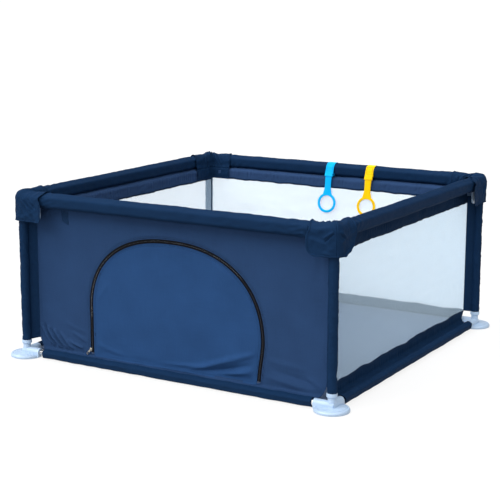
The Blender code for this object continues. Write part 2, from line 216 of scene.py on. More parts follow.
def arc(centre, radius, start, end, steps):
    """Points on an arc, angles in degrees, both ends included."""
    angles = [math.radians(start + (end - start) * i / steps) for i in range(steps + 1)]
    return [(centre[0] + radius * math.cos(a), centre[1] + radius * math.sin(a)) for a in angles]


def rounded(points, radius, steps=5, closed=False):
    """An outline with its corners rounded by arcs. radius is one number or one for each corner."""
    count = len(points)
    radii = [radius] * count if np.isscalar(radius) else radius
    made = []
    for i, (point, r) in enumerate(zip(points, radii)):
        here = Vector(point)
        if (not closed and i in (0, count - 1)) or r <= 0:
            made.append(tuple(here))
            continue
        before = (Vector(points[i - 1]) - here).normalized()
        after = (Vector(points[(i + 1) % count]) - here).normalized()
        half = before.angle(after) / 2
        back = r / math.tan(half)
        centre = here + (before + after).normalized() * r / math.sin(half)
        start, end = here + before * back - centre, here + after * back - centre
        swing = start.angle_signed(end)
        for k in range(steps + 1):
            spoke = start.copy()
            spoke.rotate(Matrix.Rotation(-swing * k / steps, 2))
            made.append(tuple(centre + spoke))
    return made


# ---- meshes ----
def new_mesh(name, points, faces, cloth=None):
    """A mesh, with a UV map in metres of cloth if there is a place on the cloth for each point."""
    mesh = bpy.data.meshes.new(name)
    mesh.from_pydata(np.reshape(points, (-1, 3)).tolist(), [], faces)
    if cloth is not None:
        corners = np.zeros(len(mesh.loops), np.int32)
        mesh.loops.foreach_get("vertex_index", corners)
        places = np.asarray(cloth, np.float32).reshape(-1, 2)
        mesh.uv_layers.new(name="cloth").data.foreach_set("uv", places[corners].ravel())
    return mesh


def quads(index):
    """The faces between the points of a grid."""
    around_each = [index[:-1, :-1], index[1:, :-1], index[1:, 1:], index[:-1, 1:]]
    return np.stack(around_each, -1).reshape(-1, 4).tolist()


def repeated(faces, step, count):
    """The faces of one tooth or stitch, again for each of them."""
    return [tuple(start + i for i in face) for start in range(0, count, step) for face in faces]


def grid_mesh(name, points, cloth=None, round_it=False):
    """Quads over a grid of points. round_it joins the last row to the first."""
    index = np.arange(points[..., 0].size).reshape(points.shape[:2])
    if round_it:
        index = np.concatenate([index, index[:1]])
    mesh = new_mesh(name, points, quads(index), cloth)
    mesh.shade_smooth()
    return mesh


def finish_mesh(mesh, angle=35):
    """Welded, faces pointing out, smooth but for its real edges."""
    work = bmesh.new()
    work.from_mesh(mesh)
    bmesh.ops.remove_doubles(work, verts=work.verts, dist=1e-6)
    bmesh.ops.recalc_face_normals(work, faces=work.faces)
    work.to_mesh(mesh)
    work.free()
    mesh.shade_smooth()
    mesh.set_sharp_from_angle(angle=math.radians(angle))
    return mesh


def placed(name, data):
    made = bpy.data.objects.new(name, data)
    bpy.context.scene.collection.objects.link(made)
    return made


def piece(name, mesh, look, slot, stands_for=None, body="frame", thickness=0.0):
    """An object of the model that rides on a body, and the CAD node that it takes the place of."""
    made = placed(name, mesh)
    mesh.materials.clear()
    mesh.materials.append(LOOKS[look])
    if thickness:
        solid = made.modifiers.new("Solidify", "SOLIDIFY")
        solid.thickness, solid.offset = thickness, 0.0
    if body:
        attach(made, body)
    if stands_for:
        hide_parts(stands_for)
    return made


def navy_cloth(name, mesh, stands_for=None, look="navy"):
    return piece(name, mesh, look, "navy_fabric", stands_for, thickness=CLOTH_T)


def stitch_mesh(seams, pitch=STITCH, radius=THREAD_R):
    """Thread stitches along seams, each of them points on the cloth and its normals there."""
    # one stitch: a short thread with pointed ends, in shares of its length and radii
    ring = [(-0.26, 1, 0.5), (-0.26, 0, 1.2), (-0.26, -1, 0.5), (-0.26, 0, -0.4)]
    shape = np.array([(-0.4, 0, 0)] + ring + [(-x, y, z) for x, y, z in ring] + [(0.4, 0, 0)])
    corners = [(i, (i + 1) % 4) for i in range(4)]
    one = [(1 + i, 1 + j, 5 + j, 5 + i) for i, j in corners]
    one += [(0, 1 + j, 1 + i) for i, j in corners] + [(9, 5 + i, 5 + j) for i, j in corners]
    places = []
    for points, out in seams:
        run = even(np.concatenate([points, out], axis=1), pitch)
        centre, out = (run[1:, :3] + run[:-1, :3]) / 2, run[1:, 3:]
        along = run[1:, :3] - run[:-1, :3]
        size = np.linalg.norm(along, axis=1, keepdims=True)
        along = along / np.maximum(size, 1e-9)
        side = np.cross(out, along)
        side /= np.maximum(np.linalg.norm(side, axis=1, keepdims=True), 1e-9)
        up = np.cross(along, side)
        made = centre[:, None] + shape[:, 0:1] * (along * size)[:, None]
        made = made + radius * (shape[:, 1:2] * side[:, None] + shape[:, 2:3] * up[:, None])
        places.append(made.reshape(-1, 3))
    points = np.concatenate(places)
    mesh = new_mesh("stitches", points, repeated(one, len(shape), len(points)))
    mesh.shade_smooth()
    return mesh


def strip_mesh(name, path, out, side, section):
    """A closed section of (out, side) points run along a path, capped at both ends."""
    section = np.array(section)
    points = path[:, None] + section[:, 0:1] * out[:, None] + section[:, 1:2] * side[:, None]
    index = np.arange(points[..., 0].size).reshape(points.shape[:2])
    faces = quads(np.concatenate([index, index[:, :1]], axis=1))
    faces += [index[0].tolist(), index[-1][::-1].tolist()]
    cloth = stack(run_of(path)[:, None], run_of(np.concatenate([section, section[:1]]))[:-1])
    return finish_mesh(new_mesh(name, points, faces, cloth), 40)


def turned(name, profile, steps=96):
    """A closed form turned about Z from (radius, height) points that start and end on the axis."""
    angle = np.linspace(0, 2 * math.pi, steps, endpoint=False)[:, None]
    radius, height = np.array(profile).T
    points = stack(radius * np.cos(angle), radius * np.sin(angle), height)
    return finish_mesh(grid_mesh(name, points, round_it=True))


def tube_mesh(name, length, steps=48, lip=0.0003):
    """A steel tube along X, centred on the origin, with broken edges."""
    inner, half = TUBE_R - TUBE_WALL, length / 2
    ring = [(inner, -half), (TUBE_R, -half), (TUBE_R, half), (inner, half)]
    radius, along = np.array(rounded(ring, lip, 2, closed=True)).T
    angle = np.linspace(0, 2 * math.pi, steps, endpoint=False)[:, None]
    points = stack(along, np.cos(angle) * radius, np.sin(angle) * radius)
    points = np.concatenate([points, points[:, :1]], axis=1)
    return finish_mesh(grid_mesh(name, points, np.zeros((*points.shape[:2], 2)), round_it=True))


def plate_mesh(name, outlines, thickness, bevel=0.0, steps=2):
    """A flat plate in XY about Z = 0, with rounded edges; outlines after the first are holes."""
    curve = bpy.data.curves.new(name, "CURVE")
    curve.dimensions = "2D"
    curve.fill_mode = "BOTH"
    curve.extrude = thickness / 2 - bevel
    curve.bevel_depth = bevel
    curve.bevel_resolution = steps
    curve.offset = -bevel
    for outline in outlines:
        spline = curve.splines.new("POLY")
        spline.points.add(len(outline) - 1)
        for point, (x, y) in zip(spline.points, outline):
            point.co = (x, y, 0.0, 1.0)
        spline.use_cyclic_u = True
    return finish_mesh(applied(placed(name, curve)))


def applied(worked):
    """The mesh of a scratch object with its modifiers applied; the object is removed."""
    bpy.context.view_layer.update()
    graph = bpy.context.evaluated_depsgraph_get()
    mesh = bpy.data.meshes.new_from_object(worked.evaluated_get(graph))
    bpy.data.objects.remove(worked)
    return mesh


def joined(base, added=(), cut=()):
    """The base mesh with others joined to it and then others cut from it."""
    worked = placed("scratch", base)
    tools = []
    for meshes, operation in ((added, "UNION"), (cut, "DIFFERENCE")):
        for mesh in meshes:
            tools.append(placed("scratch", mesh))
            step = worked.modifiers.new(operation, "BOOLEAN")
            step.operation, step.object = operation, tools[-1]
    mesh = applied(worked)
    for tool in tools:
        bpy.data.objects.remove(tool)
    return finish_mesh(mesh)


def merged(name, meshes):
    """Meshes put into one, with their cloth maps."""
    pieces = [placed("scratch", mesh) for mesh in meshes]
    with bpy.context.temp_override(
        active_object=pieces[0], object=pieces[0], selected_objects=pieces,
        selected_editable_objects=pieces,
    ):
        bpy.ops.object.join()
    mesh = pieces[0].data
    bpy.data.objects.remove(pieces[0])
    mesh.name = name
    return mesh


def formed(name, build, **sizes):
    """A mesh from one of bmesh's own forms."""
    work = bmesh.new()
    build(work, **sizes)
    mesh = bpy.data.meshes.new(name)
    work.to_mesh(mesh)
    work.free()
    return mesh


def rod(radius, length, axis, centre=(0, 0, 0), steps=48):
    cone = {"cap_ends": True, "segments": steps, "radius1": radius, "radius2": radius}
    mesh = formed("rod", bmesh.ops.create_cone, depth=length, **cone)
    facing = Vector((0, 0, 1)).rotation_difference(Vector(axis)).to_matrix().to_4x4()
    return moved(mesh, Matrix.Translation(centre) @ facing)


def box_mesh(low, high):
    low, high = Vector(low), Vector(high)
    place = Matrix.Translation((low + high) / 2) @ Matrix.Diagonal((*(high - low), 1.0))
    return moved(formed("box", bmesh.ops.create_cube, size=1.0), place)


def moved(mesh, matrix):
    mesh.transform(matrix)
    return mesh


def shifted(mesh, x=0.0, y=0.0, z=0.0):
    return moved(mesh, Matrix.Translation((x, y, z)))


def spin(angle, axis):
    return Matrix.Rotation(angle, 4, axis)


def upright(mesh):
    """Stands a plate that was drawn in XY up into XZ, facing -Y."""
    return moved(mesh, spin(QUARTER, "X"))


def quarter_turned(mesh, quarters):
    return moved(mesh, spin(quarters * QUARTER, "Z"))


# ---- materials ----
class Shade:
    """A material being built: short ways to add and link nodes. Its textures lie on the cloth or
    follow the object's own places."""

    def __init__(self, name, on_cloth=False):
        self.material = bpy.data.materials.new(name)
        self.material.use_nodes = True
        self.nodes = self.material.node_tree.nodes
        self.links = self.material.node_tree.links
        self.shader = self.nodes["Principled BSDF"]
        if on_cloth:
            self.where = self.add("ShaderNodeUVMap", uv_map="cloth").outputs[0]
        else:
            self.where = self.add("ShaderNodeTexCoord").outputs["Object"]

    def fill(self, node, sockets):
        """Gives sockets a number or colour each, or a link from another node."""
        for socket, source in sockets.items():
            if isinstance(source, bpy.types.NodeSocket):
                self.links.new(source, node.inputs[socket])
            else:
                node.inputs[socket].default_value = source

    def add(self, kind, sockets=(), **values):
        node = self.nodes.new(kind)
        for key, value in values.items():
            setattr(node, key, value)
        self.fill(node, dict(sockets))
        return node

    def math(self, operation, a, b=0.0):
        return self.add("ShaderNodeMath", {0: a, 1: b}, operation=operation).outputs[0]

    def sum(self, a, share_a, b, share_b):
        a, b = self.math("MULTIPLY", a, share_a), self.math("MULTIPLY", b, share_b)
        return self.math("ADD", a, b)

    def blend(self, factor, a, b):
        return self.add("ShaderNodeMix", {0: factor, 6: a, 7: b}, data_type="RGBA").outputs[2]

    def dye(self, factor, colour, low, high):
        """From one share of a colour to another."""
        return self.blend(factor, tinted(colour, low), tinted(colour, high))

    def ranged(self, factor, low, high, start=0.0, end=1.0):
        sockets = {0: factor, 1: start, 2: end, 3: low, 4: high}
        return self.add("ShaderNodeMapRange", sockets).outputs[0]

    def noise(self, scale, detail=2.0, roughness=0.5):
        """Soft noise; a scale of three numbers draws it out along the axes."""
        vector = self.where
        if isinstance(scale, tuple):
            stretch = {0: vector, 1: scale}
            vector = self.add("ShaderNodeVectorMath", stretch, operation="MULTIPLY").outputs[0]
            scale = 1.0
        made = {"Vector": vector, "Scale": scale, "Detail": detail, "Roughness": roughness}
        return self.add("ShaderNodeTexNoise", made).outputs["Fac"]

    def wave(self, pitch, direction):
        made = {"Vector": self.where, "Scale": math.pi / 10 / pitch}
        return self.add("ShaderNodeTexWave", made, bands_direction=direction).outputs["Fac"]

    def finish(self, colour, roughness, relief=None, depth=0.0, **constants):
        """Fills in the shader's own sockets; relief is the height of bumps of a depth in metres."""
        sockets = {"Base Color": colour, "Roughness": roughness}
        if relief is not None:
            bump = {"Height": relief, "Distance": depth, "Strength": 1.0}
            sockets["Normal"] = self.add("ShaderNodeBump", bump).outputs[0]
        sockets.update({name.replace("_", " "): value for name, value in constants.items()})
        self.fill(self.shader, sockets)
        return self.material


def tinted(colour, share):
    return (*[min(1.0, channel * share) for channel in colour], 1.0)


def woven(name, colour, pitch=0.0011):
    """Plain woven polyester: crossing threads, thicker slubs both ways and soft uneven dye."""
    shade = Shade(name, on_cloth=True)
    threads = shade.math("MAXIMUM", shade.wave(pitch, "X"), shade.wave(pitch, "Y"))
    down, over = shade.noise((1100.0, 14.0, 1.0), 1.0), shade.noise((14.0, 1100.0, 1.0), 1.0)
    slub = shade.math("MULTIPLY", shade.math("ADD", down, over), 0.5)
    tone = shade.ranged(shade.sum(slub, 0.65, shade.noise(9.0, 3.0), 0.35), -0.9, 1.9)
    dyed = shade.dye(tone, colour, 0.84, 1.16)
    lit = shade.blend(shade.ranged(threads, 0.55, 1.0), tinted(colour, 0.45), dyed)
    height = shade.math("ADD", threads, shade.math("MULTIPLY", slub, 1.5))
    rough = shade.ranged(slub, 0.62, 0.8)
    return shade.finish(lit, rough, height, 0.00016, Specular_IOR_Level=0.03)


def ribbed(name, colour, pitch=0.0016, gloss=0.08):
    """Flat webbing or binding tape: ribs across it with a finer twill on them."""
    shade = Shade(name, on_cloth=True)
    twill = shade.math("MULTIPLY", shade.wave(pitch * 0.6, "DIAGONAL"), 0.5)
    height = shade.math("ADD", shade.wave(pitch, "X"), twill)
    dyed = shade.dye(shade.sum(height, 0.4, shade.noise(25.0, 3.0), 0.5), colour, 0.72, 1.12)
    rough = shade.ranged(shade.noise(700.0), 0.6, 0.85)
    return shade.finish(dyed, rough, height, 0.0003, Specular_IOR_Level=gloss)


def knitted_mesh(name, colour, pitch=0.003):
    """See-through knitted mesh: rows of rounded holes between threads."""
    shade = Shade(name, on_cloth=True)
    hole = shade.math("MULTIPLY", shade.wave(pitch, "X"), shade.wave(pitch * 0.8, "Y"))
    cover = shade.ranged(hole, 0.92, 0.18, 0.05, 0.3)
    cover = shade.math("ADD", cover, shade.ranged(shade.noise(5.0), -0.02, 0.02))
    return shade.finish(
        shade.dye(hole, colour, 1.0, 0.86), 1.0, shade.math("SUBTRACT", 1.0, hole), 0.0003,
        Alpha=cover, Specular_IOR_Level=0.2, Transmission_Weight=0.25, IOR=1.02,
    )


def moulded(name, colour, roughness=(0.26, 0.4), glow=0.15, gloss=0.5):
    """Moulded plastic: a fine satin grain, with scuffs where it rubs."""
    shade = Shade(name)
    rough = shade.ranged(shade.noise((40.0, 40.0, 300.0), 4.0, 0.6), *roughness)
    return shade.finish(
        shade.dye(shade.noise(12.0, 3.0), colour, 0.96, 1.03), rough, shade.noise(900.0), 0.00006,
        Subsurface_Radius=(0.004, 0.005, 0.006), Subsurface_Weight=glow, Subsurface_Scale=0.4,
        Specular_IOR_Level=gloss,
    )


def plated(name, colour, roughness=(0.12, 0.3)):
    """Bright metal with fine draw lines along it and a little haze."""
    shade = Shade(name)
    lines, haze = shade.noise((30.0, 1500.0, 1500.0)), shade.noise(35.0, 3.0)
    rough = shade.ranged(shade.math("MULTIPLY", shade.math("ADD", lines, haze), 0.5), *roughness)
    return shade.finish(shade.dye(haze, colour, 0.9, 1.05), rough, lines, 0.00003, Metallic=1.0)


def rubbery(name, colour):
    shade = Shade(name)
    cloud = shade.noise(30.0, 3.0)
    dyed = shade.dye(cloud, colour, 0.85, 1.15)
    return shade.finish(dyed, shade.ranged(cloud, 0.75, 0.9), shade.noise(1200.0), 0.0001)


def foamed(name, colour):
    """Closed-cell foam: small open pores in its skin."""
    shade = Shade(name)
    pores = {"Vector": shade.where, "Scale": 650.0}
    cells = shade.add("ShaderNodeTexVoronoi", pores).outputs["Distance"]
    dyed = shade.dye(cells, colour, 0.75, 1.05)
    return shade.finish(dyed, 0.95, cells, 0.0003, Subsurface_Weight=0.1)


def thread(name, colour):
    shade = Shade(name)
    twist = shade.noise(2500.0, 1.0)
    dyed = shade.dye(twist, colour, 0.8, 1.2)
    return shade.finish(dyed, 0.7, twist, 0.0001, Specular_IOR_Level=0.1)


NAVY = (0.0058, 0.0235, 0.0655)
BLUE = (0.0, 0.46, 1.0)
YELLOW = (1.0, 0.6, 0.0)

LOOKS = {
    "navy": woven("navy_cloth", NAVY),
    "panel": woven("panel_cloth", (0.019, 0.048, 0.122)),
    # door: the panel's own cloth made lighter and bluer, painted light where the door bulges out
    "door": woven("door_cloth_painted_light", (0.0175, 0.056, 0.155)),
    # inner: the navy band cloth made lighter, painted light on the top bands of the back and left
    # walls seen from inside
    "inner": woven("inner_cloth_painted_light", (0.025, 0.056, 0.136)),
    "patch": woven("patch_cloth", (0.009, 0.029, 0.076)),
    "floor": woven("floor_cloth", (0.07, 0.1, 0.17), 0.0014),
    "binding": ribbed("binding_tape", NAVY, 0.001),
    "mesh": knitted_mesh("wall_mesh", (0.6, 0.78, 0.93)),
    "zip": ribbed("zip_tape", (0.0035, 0.0042, 0.007), 0.0008),
    "coil": moulded("zip_coil", (0.0085, 0.009, 0.012), (0.45, 0.6), 0.0, 0.2),
    "thread": thread("navy_thread", (0.012, 0.033, 0.085)),
    # dark thread: partly the thread's own colour, partly painted shade that darkens the stitched
    # hem and zip grooves
    "dark_thread_and_groove_shade": thread("dark_thread_and_groove_shade", (0.0035, 0.0095, 0.024)),
    "plastic": moulded("ice_plastic", (0.38, 0.5, 0.66)),
    "blue": moulded("blue_plastic", BLUE, (0.35, 0.5), 0.1, 0.15),
    "yellow": moulded("yellow_plastic", YELLOW, (0.35, 0.5), 0.1, 0.15),
    "blue_web": ribbed("blue_webbing", BLUE, gloss=0.15),
    "yellow_web": ribbed("yellow_webbing", YELLOW, gloss=0.15),
    "blue_thread": thread("blue_thread", (0.0, 0.16, 0.62)),
    "yellow_thread": thread("yellow_thread", (0.42, 0.26, 0.01)),
    "steel": plated("steel_tube", (0.66, 0.67, 0.69)),
    "nickel": plated("dark_nickel", (0.5, 0.47, 0.4), (0.22, 0.4)),
    "rubber": rubbery("grip_rubber", (0.19, 0.2, 0.22)),
    "foam": foamed("rail_foam", (0.8, 0.8, 0.78)),
}


# ---- camera ----
def make_camera():
    place = Vector((2.6606, -4.6088, 1.4622))
    turn, tilt, roll = -0.532, 0.2003, 0.0035
    level = math.cos(tilt)
    ahead = Vector((math.sin(turn) * level, math.cos(turn) * level, -math.sin(tilt)))
    right = Vector((math.cos(turn), -math.sin(turn), 0.0))
    up = right.cross(ahead)
    cos, sin = math.cos(roll), math.sin(roll)
    right, up = right * cos + up * sin, up * cos - right * sin
    data = bpy.data.cameras.new("camera")
    data.lens, data.sensor_width, data.clip_end = 95.12, 36.0, 900.0
    camera = placed("camera", data)
    axes = Matrix((right, up, -ahead)).transposed().to_4x4()
    camera.matrix_world = Matrix.Translation(place) @ axes
    bpy.context.scene.camera = camera


# ---- moulded and metal pieces ----
def foot_mesh():
    """Disc foot: stepped rim, shallow cone, collared post socket and two D-shaped rail sockets."""
    bore, collar, neck, seat = TUBE_R + GAP, 0.0195, 0.0148, 0.04
    rim, ground, underside = 0.0155, 0.001, PAD_H + GAP
    profile = (  # radius, height and the rounding of each corner
        (0.0, seat, 0), (bore, seat, 0), (bore, FOOT_HIGH, 0.0008), (collar, FOOT_HIGH, 0.0014),
        (collar, FOOT_HIGH - 0.0125, 0.0012), (neck, FOOT_HIGH - 0.0175, 0.0012),
        (neck, rim + 0.0012, 0.0025), (FOOT_R - 0.013, rim - 0.0008, 0.0004),
        (FOOT_R - 0.0122, rim - 0.0022, 0.0003), (FOOT_R - 0.0102, rim - 0.0022, 0.0003),
        (FOOT_R - 0.0094, rim - 0.001, 0.0004), (FOOT_R - 0.0035, rim - 0.0018, 0.0022),
        (FOOT_R, rim - 0.007, 0.0022), (FOOT_R, ground, 0.0008), (PAD_R + GAP, ground, 0.0003),
        (PAD_R + GAP, underside, 0), (0.0, underside, 0),
    )
    body = turned("foot", rounded([row[:2] for row in profile], [row[2] for row in profile], 4))
    reach, root = 0.068, 0.012
    outline = arc((0, RAIL_Z), SOCKET_R, 0, 180, 24)
    outline += [(-SOCKET_R, underside + GAP), (SOCKET_R, underside + GAP)]
    sockets, cuts = [], []
    for quarters in (0, -1):
        socket = upright(plate_mesh("socket", [outline], reach + root, 0.0012))
        sockets.append(quarter_turned(shifted(socket, y=(reach + root) / 2 - root), quarters))
        cuts.append(quarter_turned(rod(bore, 0.06, (0, 1, 0), (0, 0.054, RAIL_Z)), quarters))
    cuts.append(rod(bore, 0.06, (0, 0, 1), (0, 0, seat + 0.03), 96))
    return joined(body, sockets, cuts)


def pad_mesh():
    """Grip pad: a disc with ring grooves on its underside."""
    groove, spacing = 0.0008, 0.009
    profile = [(0.0, PAD_H), (PAD_R, PAD_H), (PAD_R, 0.0)]
    for ring in range(5):
        r = PAD_R - 0.006 - ring * spacing
        profile += [(r, 0.0), (r - 0.001, groove), (r - 0.002, groove), (r - 0.003, 0.0)]
    return turned("foot_pad", profile + [(0.0, 0.0)])


def top_corner_mesh():
    """Three-way connector inside the cap, with a rounded ear under each rail socket."""
    reach, bore = 0.0865, TUBE_R + GAP
    low, high, seat = 0.575, TOP_Z + 0.0145, POST_TOP + GAP
    body = rod(SOCKET_R + 0.0005, high - low, (0, 0, 1), (0, 0, (low + high) / 2), 64)
    near, far, ear_low, ear_top = 0.03, 0.086, 0.548, TOP_Z - 0.005
    ear = rounded([(near, ear_top), (near, ear_low), (far, ear_low), (far, ear_top)],
                  [0, 0.022, 0.022, 0], 10)
    added, cuts = [], [rod(bore, 0.05, (0, 0, 1), (0, 0, seat - 0.025), 64)]
    for quarters in (0, 1):
        socket = rod(SOCKET_R, reach, (1, 0, 0), (reach / 2, 0, TOP_Z))
        web = upright(plate_mesh("ear", [ear], 0.005, 0.0008))
        added += [quarter_turned(mesh, quarters) for mesh in (socket, web)]
        cuts.append(quarter_turned(rod(bore, 0.08, (1, 0, 0), (0.064, 0, TOP_Z)), quarters))
    return joined(body, added, cuts)


def make_hard_corners():
    stand = Matrix.Translation((0, 0, (POST_TOP + POST_LOW) / 2)) @ spin(QUARTER, "Y")
    kinds = (
        ("foot", foot_mesh(), "plastic", "ice_plastic"),
        ("foot_pad", pad_mesh(), "rubber", "grip_rubber"),
        ("post", moved(tube_mesh("post", POST_TOP - POST_LOW), stand), "steel", "steel"),
        ("top_corner", top_corner_mesh(), "plastic", "ice_plastic"),
    )
    for kind, mesh, look, slot in kinds:
        shifted(mesh, -HALF, -HALF)
        for quarters, corner in enumerate(CORNERS):
            name = f"{kind}_{corner}"
            piece(name + "_fine", quarter_turned(mesh.copy(), quarters), look, slot, name)


def make_hard_sides():
    for kind, height in (("top_rail", TOP_Z), ("bottom_rail", RAIL_Z)):
        for quarters, side in enumerate(SIDES):
            tube = shifted(tube_mesh(kind, 2 * RAIL_HALF), y=-HALF, z=height)
            name = f"{kind}_{side}"
            piece(name + "_fine", quarter_turned(tube, quarters), "steel", "steel", name)


# ---- padded rails and sleeves ----
ROLL_SEAM = -97.0  # degrees round the rail, from level outward
BARE_TUBE = 0.014  # how much of the front bottom rail shows at its left end


def around(half, radius, start, rows, columns):
    """A grid on a tube along X about the origin: along, angle and points; angle 0 faces outward."""
    along = np.linspace(-half, half, rows)[:, None]
    angle = np.radians(start + np.linspace(0, 360, columns))[None, :]
    along, angle = np.broadcast_arrays(along, angle)
    return along, angle, stack(along, -radius * np.cos(angle), radius * np.sin(angle))


def faceted(angle, faces, flat, ridge, sharpness=40):
    """A sleeve's radius by angle: flat stretches that face some ways, with soft ridges between."""
    total = ridge**-sharpness + 0 * angle
    for face in faces:
        turned_by = np.clip(np.cos(angle - math.radians(face)), 0.3, None)
        total = total + (flat / turned_by) ** -sharpness
    return total ** (-1 / sharpness)


def make_rail_cover(quarters, side):
    """Foam tube and its sewn cover: taut over the top, gathered along the seam under the rail."""
    axis = np.array([0, -HALF, TOP_Z])
    along, angle, points = around(ROLL_HALF, ROLL_R - 0.006, -90, 60, 40)
    dents = 0.0005 * ripple(along, angle * ROLL_R, 11 + quarters, 0.05)
    foam = turn_points(raised(points, -dents) + axis, quarters)
    foam = grid_mesh("foam", foam, stack(along, angle * ROLL_R))
    made = piece(f"foam_{side}", foam, "foam", "foam", f"top_foam_{side}")

    along, angle, points = around(ROLL_HALF, 1.0, ROLL_SEAM, 300, 96)
    points[..., 1:] *= faceted(angle, (-4, 62, 118, 184), 0.027, ROLL_R + 0.0004)[..., None]
    turn = np.abs(np.degrees(angle) - ROLL_SEAM)
    from_seam = np.minimum(turn, 360 - turn) / 360 * 2 * math.pi * ROLL_R
    # long waves, gathers at the seam, and creases dragged towards the ends
    sag = 0.0007 * ripple(along, angle * 0.02, 30 + quarters, 0.22)
    sag += 0.0004 * ripple(along, angle * ROLL_R * 1.5, 40 + quarters, 0.05)
    gathers = 0.0016 * (puckers(along, 50 + quarters, 0.016) - 0.5) * np.exp(-from_seam / 0.011)
    drag = 0.0022 * np.exp(-(ROLL_HALF - np.abs(along)) / 0.07)
    drag = drag * ripple(along * 0.8, angle * ROLL_R * 1.2, 60 + quarters, 0.03)
    cover = turn_points(raised(points, -(sag + gathers + drag)) + axis, quarters)
    mesh = grid_mesh("rail_cover", cover, stack(along, angle * ROLL_R))
    made = navy_cloth(f"rail_cover_{side}", mesh, f"top_cover_{side}")


def make_bottom_sleeve(quarters, side):
    """Sleeve round the bottom rail: looser, with long creases, and flat where it lies on the floor.
    The front one is pushed in from the front left foot and leaves some of the tube bare."""
    along, angle, points = around(SLEEVE_HALF, 1.0, -200, 300, 80)
    reach = faceted(angle, (-12, 64, 128, 200), SLEEVE_R * 0.86, SLEEVE_R, 30)
    points[..., 1:] *= reach[..., None]
    if side == "front":
        along = along + BARE_TUBE * (1 - along / SLEEVE_HALF) / 2
        points[..., 0] = along
    over = angle * SLEEVE_R
    # long folds, sharp creases over the top and soft slack
    loose = 0.0005 * ripple(along * 0.5, over * 1.2, 70 + quarters, 0.045)
    loose += 0.0008 * np.abs(ripple(along * 0.35, over, 80 + quarters, 0.06)) - 0.0008
    creases = bell(ripple(along, over * 0.15, 95 + quarters, 0.07), 0, 0.14)
    loose -= 0.001 * creases * (np.sin(angle) > 0)
    sleeve = raised(points, -loose) + np.array([0, -HALF, RAIL_Z])
    floor = 0.0012  # the lowest height, and how softly the sleeve flattens on to it
    sleeve[..., 2] = floor + np.log1p(np.exp((sleeve[..., 2] - floor) / floor)) * floor
    mesh = grid_mesh("bottom_sleeve", turn_points(sleeve, quarters), stack(along, over))
    made = navy_cloth(f"rail_sleeve_{side}", mesh, f"bottom_sleeve_{side}")


def make_post_sleeve(quarters, corner):
    """Sleeve round a post with the flat web in to the corner seam; its foot is cut on a slant."""
    web_tip, rows, columns = 0.0545, 150, 64
    web = web_tip - SLEEVE_R
    total = 2 * web + 2 * math.pi * SLEEVE_R
    up = np.linspace(0, 1, rows)[:, None]
    run = np.linspace(0, 1, columns)[None, :] * total
    in_web = (run < web) | (run > total - web)
    angle = (run - web) / SLEEVE_R
    x = np.where(run < web, web_tip - run, web_tip - (total - run))
    x = np.where(in_web, x, SLEEVE_R * np.cos(angle))
    y = np.where(in_web, 0.0, SLEEVE_R * np.sin(angle))
    apart = np.where(run < total / 2, 1.0, -1.0) * 0.001  # the web's two layers
    y = y + apart * smooth(x, SLEEVE_R * 0.5, SLEEVE_R * 1.05)
    tip = smooth(x, SLEEVE_R * 0.4, web_tip)
    low = POST_SLEEVE_LOW + 0.005 * tip**1.5
    z = low + (POST_SLEEVE_TOP - low) * up
    x, y, z, run = np.broadcast_arrays(x, y, z, run)
    # slack round the post only, creases over all and the hem at the foot
    slack = 0.0006 * ripple(z, run, 100 + quarters, 0.09) * (1 - tip)
    slack += 0.0013 * np.abs(ripple(z * 0.8 + run, run, 110 + quarters, 0.05)) * (1 - tip)
    slack -= 0.0011 * bell(ripple(z, run * 0.3, 120 + quarters, 0.035), 0, 0.16)
    slack -= 0.0006 * bell(z - low, 0.01, 0.0015) * (1 - tip)
    inward = np.array(Matrix.Rotation(math.radians(45), 3, "Z"))
    points = raised(stack(x, y, z), slack) @ inward.T + np.array([-HALF, -HALF, 0])
    mesh = grid_mesh("post_sleeve", turn_points(points, quarters), stack(run, z))
    made = navy_cloth(f"post_cloth_{corner}", mesh, f"post_sleeve_{corner}")


# ---- corner caps ----
# how far each cap reaches along its two rails: outer flap, top, inner side, and how much of the
# outer flap's lower corner is rounded away along and up
CAP_ARMS = {
    "front_left": ((0.1165, 0.119, 0.108, 0.019, 0.044), (0.108, 0.112, 0.118, 0.034, 0.05)),
    "front_right": ((0.102, 0.104, 0.108, 0.1, 0.1), (0.091, 0.09, 0.105, 0.04, 0.034)),
    "back_right": ((0.112, 0.118, 0.12, 0.04, 0.05), (0.156, 0.118, 0.108, 0.024, 0.034)),
    "back_left": ((0.12, 0.14, 0.165, 0.05, 0.06), (0.112, 0.12, 0.135, 0.05, 0.06)),
}

CAP_FOLDS = (
    (
        (-30, 650, -92, 580, 5.0, 2.8), (-40, 640, -96, 592, 3.2, -2.4),
        (-20, 628, -70, 562, 6.0, 1.8), (-70, 655, -100, 615, 5.0, 2.2),
        (-75, 640, -108, 600, 3.4, -2.0), (-62, 560, -20, 572, 6.0, 1.2),
        (16, 640, 58, 592, 5.0, 2.6), (44, 612, 70, 580, 3.5, -2.0),
    ),
    (
        (12, 640, 50, 612, 4.2, 3.0), (10, 632, 46, 598, 3.0, -2.4), (20, 652, 86, 640, 6.0, 2.2),
        (30, 590, 96, 612, 6.0, 1.6), (52, 566, 20, 560, 6.0, 1.2), (-12, 642, -48, 612, 5.0, 2.0),
        (-10, 632, -52, 602, 4.0, -1.6), (-14, 600, -60, 618, 7.0, 1.4),
    ),
    (
        (14, 642, 60, 590, 5.0, 2.4), (40, 630, 75, 572, 3.4, -1.8),
        (-16, 634, -62, 570, 5.5, 2.4), (-40, 610, -80, 580, 4.0, -1.8),
    ),
    (
        (-16, 634, -62, 570, 5.5, 2.4), (-34, 640, -48, 590, 4.0, -1.8),
        (12, 642, 50, 590, 4.5, 2.4), (24, 606, 62, 578, 4.5, -1.6),
    ),
)


